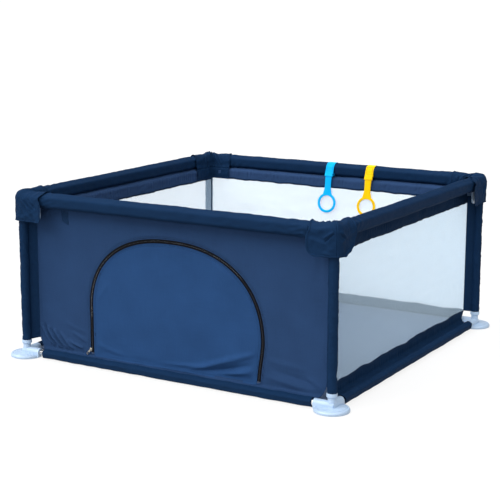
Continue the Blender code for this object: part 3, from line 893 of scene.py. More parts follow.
def cap_profile(share):
    """The cap's section from its outer hem over the rail to its inner hem, at a share of its
    length: outward, height, place along it and its whole length."""
    points = [(CAP_R, CAP_LOW), (CAP_R, TOP_Z)] + arc((0, TOP_Z), CAP_R, 10, 180, 24)
    points += [(-CAP_R - tuck, z) for tuck, z in (
        (0.0, TOP_Z - 0.014), (0.0026, 0.608), (0.0062, 0.598), (0.0074, 0.588), (0.0076, 0.554))]
    points = even(points, 0.0015)
    for _ in range(6):
        points[1:-1] = (points[:-2] + 2 * points[1:-1] + points[2:]) / 4
    run = run_of(points)
    place = share * run[-1]
    return np.interp(place, run, points[:, 0]), np.interp(place, run, points[:, 1]), place, run[-1]


def cap_reach(arm, outward, z):
    """How far a cap reaches along one rail, at a place of its section."""
    outer_reach, top_reach, inner_reach, along, high = arm
    drop = np.clip((CAP_LOW + high - z) / high, 0, 1)
    outer_reach = outer_reach - along * (1 - np.sqrt(1 - drop**2 * 0.98))
    outer_reach = outer_reach - 0.01 * bell(z, 0.643, 0.013)
    outer, inner = smooth(outward, 0.004, 0.03), smooth(-outward, 0.004, 0.03)
    return outer_reach * outer + inner_reach * inner + top_reach * (1 - outer - inner)


def cap_points(s, t, corner):
    """A cap about its post axis, and its cloth map. s runs round the corner from the X arm's end at
    -1 to the Y arm's at 1, t from the outer hem at 0 to the inner hem at 1."""
    outward, z, up, _ = cap_profile(t)
    reach_x, reach_y = (cap_reach(arm, outward, z) for arm in CAP_ARMS[corner])
    first = s < 0
    bend = np.clip(outward + 0.01, 0.004, None)  # radius of the corner's turn at this offset
    half = bend * math.pi / 4
    run = np.abs(s) * (np.where(first, reach_x, reach_y) + outward - bend + half)
    swing = math.pi / 4 - np.clip(half - run, 0, None) / bend
    x_turn = -outward + bend - bend * np.cos(math.pi / 4 + swing)
    y_turn = -outward + bend - bend * np.sin(math.pi / 4 + swing)
    x = np.where(run < half, x_turn, -outward + bend + (run - half))
    y = np.where(run < half, y_turn, -outward)
    return stack(np.where(first, x, y), np.where(first, y, x), z), stack(np.sign(s) * run, up)


def cap_lift(points, s, t, run, seed):
    """The cap's hem, corner seam, pinch creases outside and pleats inside."""
    near = nearest(points, np.concatenate([points[0], points[-1], points[:, 0], points[:, -1]]))
    outward, z, _, _ = cap_profile(t)
    outer, inner = smooth(outward, 0.0, 0.02), smooth(-outward, 0.004, 0.024)
    to_end, over = np.abs(s), smooth(-outward, -0.014, 0.012)
    # the hem, the corner seam and the ridge on each side of it
    lift = hem(near) - 0.0011 * bell(run, 0, 0.0013) * outer
    lift += 0.001 * bell(np.abs(run), 0.0035, 0.002) * outer
    # pinch creases of the outer flaps, whose ends stand off the rails
    lift += outer * 2.0 * folds(run, z, CAP_FOLDS[seed])
    lift += 0.002 * outer * (0.5 - np.abs(ripple(run, z, 200 + seed, 0.08)))
    lift += 0.006 * outer * smooth(to_end, 0.72, 1.0) * (1 - smooth(z, 0.645, 0.665))
    lift += 0.0005 * outer * ripple(run, z, 230 + seed, 0.03)
    lift += 0.0026 * (1 - outer) * smooth(to_end, 0.8, 1.0)
    # pleats that fan out from the corner over the rail
    fan = run / (0.008 + 0.11 * np.clip(0.665 - z, 0, 0.07))
    pleat = 0.8 - 1.5 * np.abs(np.sin(fan * 2.1 + 0.7 * np.sin(2.3 * fan + seed)))
    depth = 0.007 if CORNERS[seed] == "back_left" else 0.0042
    lift += depth * pleat * (bell(run, 0, 0.052) * smooth(z, 0.598, 0.625)) * over
    # the bump on the corner, the tuck under the rail and the dip on each side of the corner
    lift += 0.003 * bell(run, 0, 0.035) * smooth(z, 0.64, 0.662)
    lift -= 0.0034 * inner * bell(z, 0.603, 0.0028)
    saddle = smooth(z, 0.655, 0.667) * (1 - np.clip(np.abs(outward) / 0.03, 0, 1) ** 2)
    lift -= 0.0045 * saddle * bell(np.abs(run), 0.05, 0.02)
    return lift + 0.0008 * ripple(run, t * 0.2, 210 + seed, 0.03) * (1 - outer)


def row_inside(points, end):
    """The grid row that runs about a hem's width in from the first or last row."""
    gap = np.linalg.norm(points - points[end][None], axis=2).mean(axis=1)
    return int(np.argmin(np.abs(gap - HEM)))


def make_cap(quarters, corner):
    rows, columns = 190, 150
    s = np.linspace(-1, 1, rows)  # closer together at the corner
    s, t = np.meshgrid(np.sign(s) * np.abs(s) ** 1.1, np.linspace(0, 1, columns), indexing="ij")
    points, cloth = cap_points(s, t, corner)
    shaped = raised(points, -cap_lift(points, s, t, cloth[..., 0], quarters))
    place = np.array([-HALF, -HALF, 0])
    mesh = grid_mesh("cap", turn_points(shaped + place, quarters), cloth)
    made = navy_cloth(f"cap_cloth_{corner}", mesh, f"corner_cap_{corner}")
    cells = np.cross(np.diff(points, axis=0)[:, :-1], np.diff(points, axis=1)[:-1])
    flat = (float(np.ptp(cloth[..., 0])), cap_profile(np.array([0.0]))[3])
    area = min(float(np.linalg.norm(cells, axis=-1).sum()) * 1.02, flat[0] * flat[1])

    out = -normals(shaped)
    seams = []
    for axes, trim in (((0, 1, 2), 4), ((1, 0, 2), 5)):
        laid, skin, away = (grid.transpose(axes) for grid in (points, shaped, out))
        for end in (0, -1):
            row = row_inside(laid, end)
            up = away[row, trim:-trim]
            line = skin[row, trim:-trim] + up * (CLOTH_T / 2) + place
            seams.append((turn_points(line, quarters), turn_points(up, quarters)))
    # the cap's stitches take the dark thread, partly painted shade along the hem groove
    piece(f"cap_stitches_{corner}", stitch_mesh(seams), "dark_thread_and_groove_shade", "navy_fabric")


# ---- walls ----
CURL_START, CURL_R = 0.588, 0.016  # the cloth turns out under the rail from this height
TUCK_START, TUCK_R = 0.042, 0.011  # and out to the bottom sleeve below this one
CLOTH_TOP = CURL_START + CURL_R * math.pi / 2 + 0.014
CLOTH_LOW = TUCK_START - TUCK_R * math.pi / 2 - 0.014
TOP_WAVE, LOW_WAVE = 0.0014, 0.0036  # how far the bands' edges on the mesh wander
MESH_LOW, MESH_HIGH = 0.0765, {"right": 0.5445, "back": 0.5555, "left": 0.548}
CUT_IN, CUT_FROM, CUT_DROP = 0.022, 0.082, 0.05  # the lower corners' cut


def hang(s):
    """The wall's section by place up the cloth: distance in from the rail's axis, and height."""
    top = np.clip((s - CURL_START) / CURL_R, 0, math.pi / 2)
    low = np.clip((TUCK_START - s) / TUCK_R, 0, math.pi / 2)
    beyond = np.clip(s - CURL_START - CURL_R * math.pi / 2, 0, None)
    below = np.clip(TUCK_START - TUCK_R * math.pi / 2 - s, 0, None)
    inward = WALL_IN - CURL_R * (1 - np.cos(top)) - TUCK_R * (1 - np.cos(low)) - beyond - below
    z = np.clip(s, TUCK_START, CURL_START) + CURL_R * np.sin(top) - TUCK_R * np.sin(low)
    return inward, z + 0.22 * beyond - 0.25 * below


def wall_points(x, s, outward=0.0):
    """Cloth places on a wall of the front side, moved outward from the wall by an amount."""
    inward, z = hang(s)
    level = smooth(s, CURL_START - 0.004, CURL_START + CURL_R * 1.3)
    return stack(x, -HALF + inward - outward * (1 - level), z - outward * level * 0.6)


def half_length(s):
    """Half the wall's length at a height: its lower corners are rounded away over the feet."""
    drop = np.clip((CUT_FROM - s) / CUT_DROP, 0, 1.3)
    top = 0.02 * smooth(s, CURL_START - 0.01, CURL_START + 0.01)
    return WALL_HALF - CUT_IN * drop**1.6 - top


def edge_wave(x, seed, size):
    """How a band's edge on the mesh wanders up and down."""
    return size * ripple(x, 0 * x, seed, 0.21) + 0.001 * ripple(x, 0 * x, seed + 1, 0.05)


def edge_belly(x, seed):
    """How the seam between a band and the mesh stands in and out."""
    return 0.0016 * ripple(x, 0 * x, seed + 2, 0.2)


def band_mesh(quarters, name, low, high, gathers, seed):
    """A band of woven cloth on a mesh wall, gathered towards its rail."""
    rows, columns = 420, 30
    u, v = np.linspace(-1, 1, rows)[:, None], np.linspace(0, 1, columns)[None, :]
    top = name == "top_band"
    edge = edge_wave(u * WALL_HALF, seed, TOP_WAVE if top else LOW_WAVE)
    start, stop = (low + edge, high) if top else (low, high + edge)
    s = start + (stop - start) * v
    x = u * half_length(s)
    from_mesh = s - start if top else stop - s
    lift = edge_belly(x, seed) + 0.0004
    lift = lift + gathers * (puckers(x, seed + 3, 0.014) - 0.5) * smooth(from_mesh, 0.004, 0.03)
    wrinkles = 0.0014 * (0.4 - np.abs(ripple(x, s * 1.5, seed + 4, 0.09)))
    points = wall_points(x, s, lift + wrinkles * smooth(from_mesh, 0.004, 0.02))
    return grid_mesh(name, turn_points(points, quarters), stack(x, s)), points


def binding_mesh(path, width=0.008, thickness=0.0015):
    """A folded tape over the edge of a band, run along its edge points."""
    out, side = np.zeros(path.shape) + OUTWARD, np.zeros(path.shape) + np.array([0.0, 0.0, 1.0])
    t, w = thickness, width / 2
    section = rounded([(-t, -w), (t, -w), (t, w), (-t, w)], t * 0.8, 3, closed=True)
    return strip_mesh("binding", path, out, side, section)


def make_mesh_wall(quarters, side):
    """A mesh wall: the knitted panel, a woven band above and below it, tape over their edges."""
    seed, mesh_high = 300 + 20 * quarters, MESH_HIGH[side]
    low_seed, top_seed = seed + 5, seed + 9
    x = np.linspace(-1, 1, 240)[:, None] * (WALL_HALF - 0.001)
    v = np.linspace(0, 1, 80)[None, :]
    start = MESH_LOW + edge_wave(x, low_seed, LOW_WAVE) - 0.0015
    stop = mesh_high + edge_wave(x, top_seed, TOP_WAVE) + 0.0015
    x, s, v = np.broadcast_arrays(x, start + (stop - start) * v, v)
    inside = smooth(WALL_HALF - np.abs(x), 0.0, 0.1)
    inside = inside * smooth(v, 0.0, 0.2) * smooth(-v, -1.0, -0.8)
    # the mesh gives in the middle and is held at its edges
    slack = 0.003 * ripple(x, s, seed, 0.45) + 0.0008 * ripple(x * 0.5, s, seed + 1, 0.06)
    seams = edge_belly(x, low_seed) * (1 - v) + edge_belly(x, top_seed) * v
    points = wall_points(x, s, 0.0004 + seams + slack * inside)
    mesh = grid_mesh("wall_mesh", turn_points(points, quarters), stack(x, s))
    panel = piece(f"mesh_panel_{side}", mesh, "mesh", "mesh_fabric", f"mesh_wall_{side}")

    # the back and left top bands get the lighter inner cloth, which is painted light; the right one
    # stays navy
    top_look_with_painted_light = "navy" if side == "right" else "inner"
    for name, low, high, look, gathers, band_seed, edge, up in (
        ("top_band", mesh_high, CLOTH_TOP, top_look_with_painted_light, 0.0024, top_seed, 1, 0.0022),
        ("low_band", CLOTH_LOW, MESH_LOW, "navy", 0.0014, low_seed, -2, -0.0022),
    ):
        band, points = band_mesh(quarters, name, low, high, gathers, band_seed)
        made = navy_cloth(f"{name}_{side}", band, look=look)
        rim = points[:, edge]
        tape = quarter_turned(binding_mesh(rim), quarters)
        piece(f"{name}_binding_{side}", tape, "binding", "navy_fabric")
        for face, where in ((-1, "in"), (1, "out")):
            lane = turn_points(rim + np.array([0, -0.00175 * face, up]), quarters)
            out = turn_points(np.zeros(rim.shape) + OUTWARD * face, quarters)
            piece(f"{name}_stitches_{where}_{side}", stitch_mesh([(lane, out)]),
                                 "thread", "navy_fabric")


FLOOR_FOLDS = (
    (-600, -210, 600, -200, 10, 1.2), (-600, 220, 600, 210, 10, 1.2),
    (-210, -600, -200, 600, 10, 1.2), (220, -600, 210, 600, 10, 1.2),
    (300, -580, 580, -340, 14, 4.0), (-560, 360, -300, 600, 14, 3.5),
    (340, 300, 600, 560, 16, 3.5),
)


def make_floor():
    """The floor sheet: flat on the ground, with creases, its corners cut round the feet."""
    count, cut = 150, 0.018
    reach = WALL_HALF + 0.006  # under the walls, where it is sewn to them
    a = np.linspace(-1, 1, count) * reach
    x, y = np.meshgrid(a, a, indexing="ij")
    over = np.clip((np.abs(x) + np.abs(y) - (2 * reach - cut)) / 2, 0, None)
    x, y = x - np.sign(x) * over, y - np.sign(y) * over
    waves = 0.0011 * (0.5 + 0.5 * ripple(x, y, 401, 0.3))
    waves = waves + 0.0012 * np.abs(ripple(x, y, 402, 0.22)) ** 2
    creases = np.clip(folds(x, y, FLOOR_FOLDS), 0, None)
    edge = reach - np.maximum(np.abs(x), np.abs(y))
    z = 0.0012 + (np.clip(waves, 0, None) + creases) * smooth(edge, 0, 0.06)
    z = z + 0.031 * (1 - smooth(edge, -0.006, 0.04)) ** 1.5
    mesh = grid_mesh("floor", stack(x, y, z), stack(x, y))
    made = piece("floor_cloth", mesh, "floor", "floor_fabric", "floor_sheet", thickness=CLOTH_T)


# ---- front panel, door and zip ----
DOOR_HALF = 0.382
DOOR_SHOULDER, DOOR_TOP = 0.2, 0.52
DOOR_POWER, DOOR_LEAN = 2.3, 0.018
ZIP_EDGE = 0.0082  # the cloth's edges stop this far from the zip line
ZIP_SEAMS = (0.0125, 0.018)  # the stitched lanes' distances from it

PANEL_FOLDS = (
    (-634, 128, -574, 46, 6.5, 9.0), (-622, 130, -558, 44, 4.5, -7.5),
    (-608, 124, -538, 42, 6.5, 9.0), (-590, 116, -520, 40, 4.5, -7.5),
    (-574, 114, -502, 40, 6.5, 8.5), (-558, 108, -492, 40, 4.0, -6.0),
    (-540, 108, -478, 44, 6.0, 7.0), (-505, 80, -425, 56, 6.0, 4.8),
    (-480, 118, -400, 82, 8.0, 3.0), (-520, 150, -400, 120, 10.0, 1.8),
    (400, 70, 610, 44, 11.0, 2.6), (400, 132, 560, 118, 12.0, 2.2),
    (420, 100, 625, 68, 9.0, -1.8), (560, 90, 632, 60, 9.0, 2.4),
    (612, 565, 600, 430, 16.0, -2.4), (-640, 560, -560, 596, 10.0, 2.0),
)
DOOR_FOLDS = (
    (30, 30, 360, 150, 11.0, 8.0), (80, 30, 350, 104, 8.5, -6.2), (150, 34, 365, 82, 9.0, 6.2),
    (-100, 40, 120, 66, 9.0, 4.8), (-370, 86, -220, 48, 10.0, 2.6),
    (-360, 250, -300, 330, 12.0, 1.6), (-240, 470, -120, 500, 10.0, 1.6),
    (120, 490, 250, 420, 12.0, 1.6),
)


def arch(offset, low=DOOR_LOW):
    """The zip line moved outward by an offset, from lower left to lower right, as (along, up)."""
    angle = np.linspace(math.pi, 0, 240)
    across, up = np.cos(angle), np.abs(np.sin(angle)) ** (2 / DOOR_POWER)
    across = np.sign(across) * np.abs(across) ** (2 / DOOR_POWER)
    legs = np.linspace(low, DOOR_SHOULDER, 40, endpoint=False)
    left = np.full(legs.shape, -DOOR_HALF)
    x = np.concatenate([left, DOOR_HALF * across - DOOR_LEAN * up, -left])
    z = np.concatenate([legs, DOOR_SHOULDER + (DOOR_TOP - DOOR_SHOULDER) * up, legs[::-1]])
    line = even(stack(x, z), 0.004)
    along = heading(line)
    return line + stack(-along[:, 1], along[:, 0]) * offset


def drift(x, s):
    """The cloth hangs a little in from the door's straight right side near the floor."""
    return x - 0.016 * bell(x, DOOR_HALF, 0.1) * smooth(-s, -0.2, -0.04)


def radius_of(loop, centre, angles):
    """How far a loop reaches from a centre at each angle."""
    x, y = loop[:, 0] - centre[0], loop[:, 1] - centre[1]
    turn, reach = np.unwrap(np.arctan2(y, x)), np.hypot(x, y)
    if turn[-1] < turn[0]:
        turn, reach = turn[::-1], reach[::-1]
    turn = np.concatenate([turn - 2 * math.pi, turn, turn + 2 * math.pi])
    return np.interp(angles, turn, np.concatenate([reach, reach, reach]))


def box_reach(centre, wide, low, high, angles):
    """How far a box reaches from a centre at each angle."""
    across = np.where(np.cos(angles) > 0, wide - centre[0], wide + centre[0])
    up = np.where(np.sin(angles) > 0, high - centre[1], centre[1] - low)
    with np.errstate(divide="ignore"):
        return np.minimum(across / np.abs(np.cos(angles)), up / np.abs(np.sin(angles)))


def front_lift(x, s, gap, rows, seed):
    """Folds of the front cloth, fading out at the zip, with the zip's two stitched grooves."""
    near, far = ZIP_SEAMS
    # slow waves, the gathers that the zip pulls, and the grooves of its stitched lanes
    soft = 0.0016 * ripple(x, s, seed, 0.34) + 0.0005 * ripple(x, s * 0.6, seed + 1, 0.09)
    pull = 0.0006 * (puckers(x + s, seed + 2, 0.02) - 0.5) * bell(gap, 0.008, 0.012)
    grooves = -0.0012 * bell(gap, near, 0.0013) + 0.0006 * (1 - smooth(gap, 0.01, 0.013))
    grooves = grooves - 0.0009 * bell(gap, far, 0.0014)
    return (soft + 1.35 * folds(x, s, rows)) * smooth(gap, 0.008, 0.045) + pull + grooves


def make_front_panel():
    """The woven front: a sheet with the arched opening in it."""
    centre = (0.0, 0.22)
    inner = arch(ZIP_EDGE)
    foot = np.linspace(inner[-1], inner[0], 120)[1:-1]
    inner = np.concatenate([inner, foot + np.array([0, -0.006])])
    high, low, wide = CLOTH_TOP, CLOTH_LOW, WALL_HALF
    corners = [(-wide, high), (wide, high), (wide, low), (-wide, low)]
    exact = [math.atan2(y - centre[1], x - centre[0]) for x, y in corners]
    angles = np.sort(np.concatenate([np.linspace(-math.pi, math.pi, 840, endpoint=False), exact]))
    inner_r, outer_r = radius_of(inner, centre, angles), box_reach(centre, wide, low, high, angles)
    share = np.concatenate([np.linspace(0, 0.12, 16), np.linspace(0.12, 1, 110)[1:]])
    far = inner_r[:, None] + (outer_r - inner_r)[:, None] * share[None, :]
    x = centre[0] + far * np.cos(angles)[:, None]
    s = centre[1] + far * np.sin(angles)[:, None]
    limit = half_length(s)
    lift = front_lift(x, s, nearest(stack(x, s), arch(0.0)), PANEL_FOLDS, 501)
    lift *= smooth(s, 0.004, 0.03) * smooth(WALL_HALF - np.abs(x), -0.001, 0.012)
    lift += hem(np.abs(limit - np.abs(np.clip(x, -limit, limit))), 0.008, 0.0005)
    lift += 0.0012 * (puckers(x, 505, 0.014) - 0.5) * bell(s, CURL_START, 0.02)
    # beyond this from the middle, the cloth is drawn in to follow its rounded lower corners
    kept, squeeze = 0.45, limit / WALL_HALF
    squeezed = np.abs(np.clip(x, -WALL_HALF, WALL_HALF) * squeeze)
    drawn = kept + (squeezed - kept * squeeze) * (limit - kept) / (limit - kept * squeeze)
    x_on = np.where(np.abs(x) > kept, np.sign(x) * drawn, x)
    points = wall_points(drift(x_on, s), s, lift)
    mesh = grid_mesh("front_panel", points, stack(x, s), round_it=True)
    made = piece("front_cloth", mesh, "panel", "panel_fabric", "front_panel", thickness=CLOTH_T)


def make_door():
    """The door: one cloth inside the zip."""
    centre, spread = (0.0, 0.25), np.linspace(-1, 1, 132)
    loop = arch(-ZIP_EDGE, DOOR_LOW - 0.014)
    loop = np.concatenate([loop, np.linspace(loop[-1], loop[0], 160)[1:-1]])
    # a square grid laid over a disc, and the disc over the door
    a, b = np.meshgrid(spread, spread, indexing="ij")
    disc_x, disc_y = a * np.sqrt(1 - b**2 / 2), b * np.sqrt(1 - a**2 / 2)
    angle, far = np.arctan2(disc_y, disc_x), np.hypot(disc_x, disc_y)
    reach = radius_of(loop, centre, angle.ravel()).reshape(angle.shape)
    x, s = centre[0] + far * reach * np.cos(angle), centre[1] + far * reach * np.sin(angle)
    gap = nearest(stack(x, s), arch(0.0))
    lift = front_lift(x, s, gap, DOOR_FOLDS, 521) * smooth(s, DOOR_LOW - 0.004, DOOR_LOW + 0.02)
    belly = 0.005 * np.clip(1 - (x / 0.36) ** 2, 0, 1) * smooth(s, 0.05, 0.22)
    lift += belly * smooth(-s, -0.5, -0.3) * smooth(gap, 0.0, 0.05)
    points = wall_points(drift(x, s), s, lift + 0.0012 * smooth(-s, -0.05, -0.042))
    # the door's lighter cloth is painted light: it is the same fabric as the panel
    made = piece("door_cloth_painted_light", grid_mesh("door", points, stack(x, s)), "door", "panel_fabric",
                 "door_flap", body=None, thickness=CLOTH_T)
    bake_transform(made)
    around_it = np.linspace(-math.pi, math.pi, 721)
    area = float(np.trapz(radius_of(loop, centre, around_it) ** 2, around_it)) / 2


def zip_points(offset, outward, low=DOOR_LOW):
    """Points along the zip at an offset from its line, on the wall."""
    x, s = arch(offset, low).T
    return wall_points(drift(x, s), s, outward)


def tape_mesh(near, far):
    """Half the zip's tape, from its coil edge to under the cloth."""
    offsets = (near, (2 * near + far) / 3, (near + 2 * far) / 3, far)
    lanes = [zip_points(*lane) for lane in zip(offsets, (0.0003, 0.0001, -0.0006, -0.001))]
    count = min(len(lane) for lane in lanes)
    points = np.stack([even(lane, count=count) for lane in lanes], axis=1)
    width = np.linspace(0, abs(far - near), len(lanes))
    return grid_mesh("tape", points, stack(run_of(points[:, 0])[:, None], width))


def coil_mesh(side, pitch=0.0022):
    """Half of the nylon coil: one rounded tooth for each turn, reaching over the zip line."""
    line = even(zip_points(0.0, 0.0), pitch)
    along = heading(line)
    across = stack(along[:, 2], 0 * along[:, 0], -along[:, 0]) * -side
    if side < 0:
        line = line[:-1] + np.diff(line, axis=0) / 2
        along, across = along[:-1], across[:-1]
    else:
        line, along, across = line[3:-3], along[3:-3], across[3:-3]  # clear of the door's fold
    # one tooth: a loop of nylon from over the zip line back to its root
    bulge, reach, root, core = 0.00075, -0.0006, 0.0019, 0.0017
    ring = [(0.0, 0.001), (bulge, 0.0016), (0.0, 0.0024), (-bulge, 0.0016)]
    stations = ((reach, 0.6), ((reach + root) / 2 - 0.0008, 1.0), (root, 0.9), (root + 0.0006, 0.3))
    shape = np.array([(a * share, far, core + (out - core) * share)
                      for far, share in stations for a, out in ring])
    one = [(4 * level + i, 4 * level + (i + 1) % 4, 4 * level + 4 + (i + 1) % 4, 4 * level + 4 + i)
           for level in range(3) for i in range(4)] + [(3, 2, 1, 0), (12, 13, 14, 15)]
    made = line[:, None] + shape[:, 0:1] * along[:, None] + shape[:, 1:2] * across[:, None]
    made = made + shape[:, 2:3] * OUTWARD
    faces = repeated(one, len(shape), made[..., 0].size)
    return finish_mesh(new_mesh("coil", made, faces), 60)


def make_zip():
    for part, side in (("frame", 1), ("door", -1)):
        tape = tape_mesh(side * 0.0006, side * 0.0135)
        made = piece(f"zip_half_{part}", tape, "zip", "zip_tape", f"zip_tape_{part}", part, 0.0006)
        coil = piece(f"zip_coil_{part}", coil_mesh(side), "coil", "zip_tape", body=part)
        lanes = [zip_points(side * offset, 0.0004, DOOR_LOW + 0.012) for offset in ZIP_SEAMS]
        seams = [(lane, np.zeros(lane.shape) + OUTWARD) for lane in lanes]
        # the zip's stitches take the dark thread, partly painted shade along their grooves
        sewn = piece(f"zip_stitches_{part}", stitch_mesh(seams), "dark_thread_and_groove_shade", "panel_fabric",
                     body=part)
        length = float(run_of(arch(0.0))[-1])


def make_slider():
    """Zip slider: shield-shaped body with a bridge over it, and the pull that hangs on it."""
    front, body_t = -0.0013, 0.0042
    outline = rounded([(-0.0048, 0.0068), (0.0048, 0.0068), (0.0046, -0.001), (0.003, -0.007),
                       (-0.003, -0.007), (-0.0046, -0.001)], 0.0014, 4, closed=True)
    shield = upright(plate_mesh("slider", [outline], body_t, 0.0007))
    shifted(shield, y=front - body_t / 2)
    hoop = arc((0, 0), 0.0023, 0, 180, 16) + [(-0.003, -0.003), (0.003, -0.003)]
    bridge = plate_mesh("bridge", [hoop, arc((0, 0), 0.0012, 0, 360, 20)[:-1]], 0.0022, 0.0003)
    bridge.transform(spin(QUARTER, "Y") @ spin(QUARTER, "Z"))
    centre, bar = middle("zip_slider"), pivot("zip_pull_swing")
    shifted(bridge, y=bar.y + WALL)
    mesh = joined(shield, [bridge], [rod(0.001, 0.006, (1, 0, 0), (0, bar.y + WALL, 0), 20)])
    shifted(mesh, centre.x, -WALL, centre.z)
    piece("slider_metal", mesh, "nickel", "zip_metal", "zip_slider", "slider")

    blade = rounded([(-0.0034, -0.0058), (0.0034, -0.0058), (0.0042, -0.013), (0.0042, -0.0282),
                     (-0.0042, -0.0282), (-0.0042, -0.013)],
                    [0.001, 0.001, 0.004, 0.0036, 0.0036, 0.004], 6, closed=True)
    hole = rounded([(-0.0019, -0.015), (0.0019, -0.015), (0.0019, -0.024), (-0.0019, -0.024)],
                   0.0017, 5, closed=True)
    plate = upright(plate_mesh("blade", [blade, hole], 0.0013, 0.0004))
    wire, lean = 0.0007, math.radians(42)
    arms = [rod(wire, 0.008, (0, 0, 1), (side * 0.0026, 0, -0.0036), 16) for side in (-1, 1)]
    tab = joined(rod(wire, 0.0066, (1, 0, 0), (0, 0, 0), 16), arms + [plate])
    tab.transform(Matrix.Translation(bar) @ spin(lean, "Y"))
    piece("pull_tab_metal", tab, "nickel", "zip_metal", "zip_pull", "pull_tab")


def make_label():
    """The dark cloth tab that hangs from the seam under the front rail."""
    x0, x1, top, low = -0.523, -0.484, 0.6, 0.54
    u, v = np.meshgrid(np.linspace(0, 1, 24), np.linspace(0, 1, 30), indexing="ij")
    x = x0 + (x1 - x0) * (u + 0.25 * (1 - v) * (1 - u))
    foot = low + 0.014 * (1 - u)
    s = foot + (top - foot) * v
    lift = 0.0042 * (1 - v) * (0.4 + 0.6 * np.sin(math.pi * u)) + 0.0016
    mesh = grid_mesh("tab", wall_points(x, s, lift), stack(x, s))
    made = piece("seam_tab", mesh, "patch", "navy_fabric", thickness=0.0007)


# ---- pull rings ----
RING_R, RING_RIM, RING_T, BAR_R = 0.0393, 0.0114, 0.005, 0.0021
STRAP_W, STRAP_T, STRAP_LEAN = 0.038, 0.0014, math.radians(19)
LEAN = math.tan(math.radians(4))  # the rings hang a little aslant


def ribbon(name, path):
    """A strap along a path of (out, up) points, with its centre line and the way its face looks."""
    path = even(path, 0.0014)
    along = heading(path)
    h, w, none = STRAP_T / 2, STRAP_W / 2, np.zeros(len(path))
    section = rounded([(-h, -w), (h, -w), (h, w), (-h, w)], h * 0.9, 3, closed=True)
    points, out = stack(none, path[:, 0], path[:, 1]), stack(none, -along[:, 1], along[:, 0])
    side = np.zeros(points.shape) + np.array([1.0, 0.0, 0.0])
    return strip_mesh(name, points, out, side, section), points, out


def make_strap(colour, axis, bar):
    """The webbing: round the rail, down behind the ring's bar, up in front and sewn over."""
    out = np.array([-math.cos(STRAP_LEAN), math.sin(STRAP_LEAN)])
    down = np.array([-math.sin(STRAP_LEAN), -math.cos(STRAP_LEAN)])
    bar_2d = np.array([bar.y - axis.y, bar.z - axis.z])
    start = math.degrees(math.atan2(out[1], out[0]))
    mid, hold = ROLL_R + GAP + STRAP_T / 2, BAR_R + GAP + STRAP_T / 2

    def round_bar(way, drop):
        """Down to the bar on one side of it, and part of the way round it."""
        face = bar_2d + out * hold * way
        return [face - down * drop, face] + [
            bar_2d + out * hold * way * math.cos(a) + down * hold * math.sin(a)
            for a in np.radians([15, 30, 38])
        ]

    loop = arc((0, 0), mid, start - 372, start, 110)
    tail = [np.array(loop[-1]) + down * run for run in np.linspace(0.002, 0.016, 6)]
    back_path = np.array(list(loop) + tail + round_bar(-1, 0.003))
    lap = arc((0, 0), mid + STRAP_T, start - 38, start, 20)
    front = [np.array(lap[-1]) + down * run for run in np.linspace(0.002, 0.012, 5)]
    over, path, away = ribbon("strap_lap", list(lap) + front + round_bar(1, 0.005))
    mesh = merged("strap", [ribbon("strap", back_path)[0], over])
    mesh.transform(Matrix.Translation(axis))
    body, slot = f"strap_{colour}", f"{colour}_webbing"
    made = piece(f"strap_web_{colour}", mesh, f"{colour}_web", slot, f"ring_strap_{colour}", body)

    away = away * (-1.0 if float(away[4] @ np.array([0, out[0], out[1]])) < 0 else 1.0)
    skin = path + away * STRAP_T / 2
    first, last, inset = 3, int(len(path) * 0.62), STRAP_W / 2 - 0.005
    box = [(skin[first:last] + np.array([x, 0, 0]), away[first:last]) for x in (-inset, inset)]
    for row in (first, last - 1):
        line = skin[row] + np.linspace(-inset, inset, 16)[:, None] * np.array([1.0, 0, 0])
        box.append((line, np.zeros(line.shape) + away[row]))
    box = [(points + np.array(axis), normal) for points, normal in box]
    sewn = piece(f"strap_stitches_{colour}", stitch_mesh(box, 0.003, 0.0006), f"{colour}_thread",
                 slot, body=body)
    length = float(run_of(back_path)[-1]) + 0.045


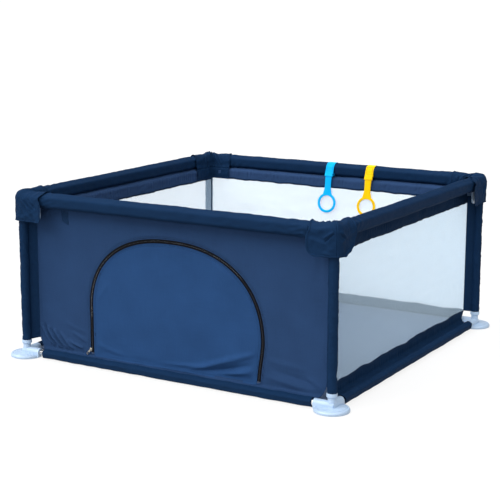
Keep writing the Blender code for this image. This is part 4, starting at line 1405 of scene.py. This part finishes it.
def make_ring(colour, bar):
    """The ring: a flat rim on a neck, thinned at its top to a bar that the strap goes round."""
    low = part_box(f"pull_ring_{colour}")[0].z
    outer, inner = RING_R + RING_RIM / 2, RING_R - RING_RIM / 2
    drop = bar.z - (low + outer)
    spread = math.degrees(math.asin(0.023 / outer))
    shoulder = -drop + outer * math.cos(math.radians(spread))
    neck = [(0.016, 0.0), (0.015, -0.022), (0.015, -0.048), (0.016, -0.06), (0.0185, -0.068),
            (0.0222, shoulder - 0.0005)]
    outline = neck + arc((0, -drop), outer, 90 - spread, -270 + spread, 90)[1:-1]
    outline += [(-x, z) for x, z in reversed(neck)]
    hole = arc((0, -drop), inner, 0, 360, 80)[:-1]
    rim = upright(plate_mesh("ring", [outline, hole], RING_T, 0.0019, 4))
    web = 0.0012  # what is left each side of the middle, at the bar
    rim = joined(rim, [], [box_mesh((-0.03, web, -0.01), (0.03, 0.02, 0.02)),
                           box_mesh((-0.03, -0.02, -0.01), (0.03, -web, 0.02))])
    ring = joined(rim, [rod(BAR_R, STRAP_W - 0.002, (1, 0, 0), (0, 0, 0), 32)])
    for vertex in ring.vertices:
        vertex.co.x += vertex.co.z * LEAN * smooth(-vertex.co.z, 0.0, 0.02)
    ring.transform(Matrix.Translation(bar))
    piece(f"ring_{colour}_moulding", ring, colour, f"{colour}_plastic", f"pull_ring_{colour}",
          f"ring_{colour}")


# ---- studio ----
def make_studio():
    mesh = formed("studio_floor", bmesh.ops.create_grid, x_segments=1, y_segments=1, size=400.0)
    shade = Shade("studio_white")
    paper = shade.dye(shade.noise(3.0), (1.0, 1.0, 1.0), 0.15, 0.16)
    white = (1.0, 1.0, 1.0, 1.0)
    mesh.materials.append(shade.finish(paper, 0.9, Specular_IOR_Level=0.1, Emission_Color=white,
                                       Emission_Strength=0.8))
    ground = placed("studio_floor", mesh)
    ground.location.z = -0.0002
    ground.visible_diffuse = False

    world = bpy.data.worlds.new("studio")
    world.use_nodes = True
    sky = world.node_tree.nodes["Background"].inputs
    sky["Color"].default_value, sky["Strength"].default_value = white, 0.4
    bpy.context.scene.world = world

    for name, place, spread, power in (
        ("top", (-0.7, -0.5, 3.0), 100, 3.0),
        ("key", (-2.4, -3.0, 3.4), 40, 1.3),
        ("fill", (-0.3, -3.0, 0.5), 80, 1.3),
        ("side", (3.0, -1.2, 1.4), 80, 0.8),
    ):
        data = bpy.data.lights.new(name, "SUN")
        data.angle, data.energy = math.radians(spread), power
        lamp = placed(name, data)
        lamp.location = place
        lamp.rotation_euler = Vector(place).to_track_quat("Z", "Y").to_euler()
    bpy.context.scene.view_settings.view_transform = "Standard"


# ---- the whole yard ----
make_camera()
make_studio()
make_hard_corners()
make_hard_sides()
for quarters, side in enumerate(SIDES):
    make_rail_cover(quarters, side)
    make_bottom_sleeve(quarters, side)
    if side != "front":
        make_mesh_wall(quarters, side)
for quarters, corner in enumerate(CORNERS):
    make_post_sleeve(quarters, corner)
    make_cap(quarters, corner)
make_floor()
make_front_panel()
make_door()
make_zip()
make_slider()
make_label()
for colour in ("blue", "yellow"):
    bar = pivot(f"ring_swing_{colour}")
    make_strap(colour, pivot(f"strap_swing_{colour}"), bar)
    make_ring(colour, bar)
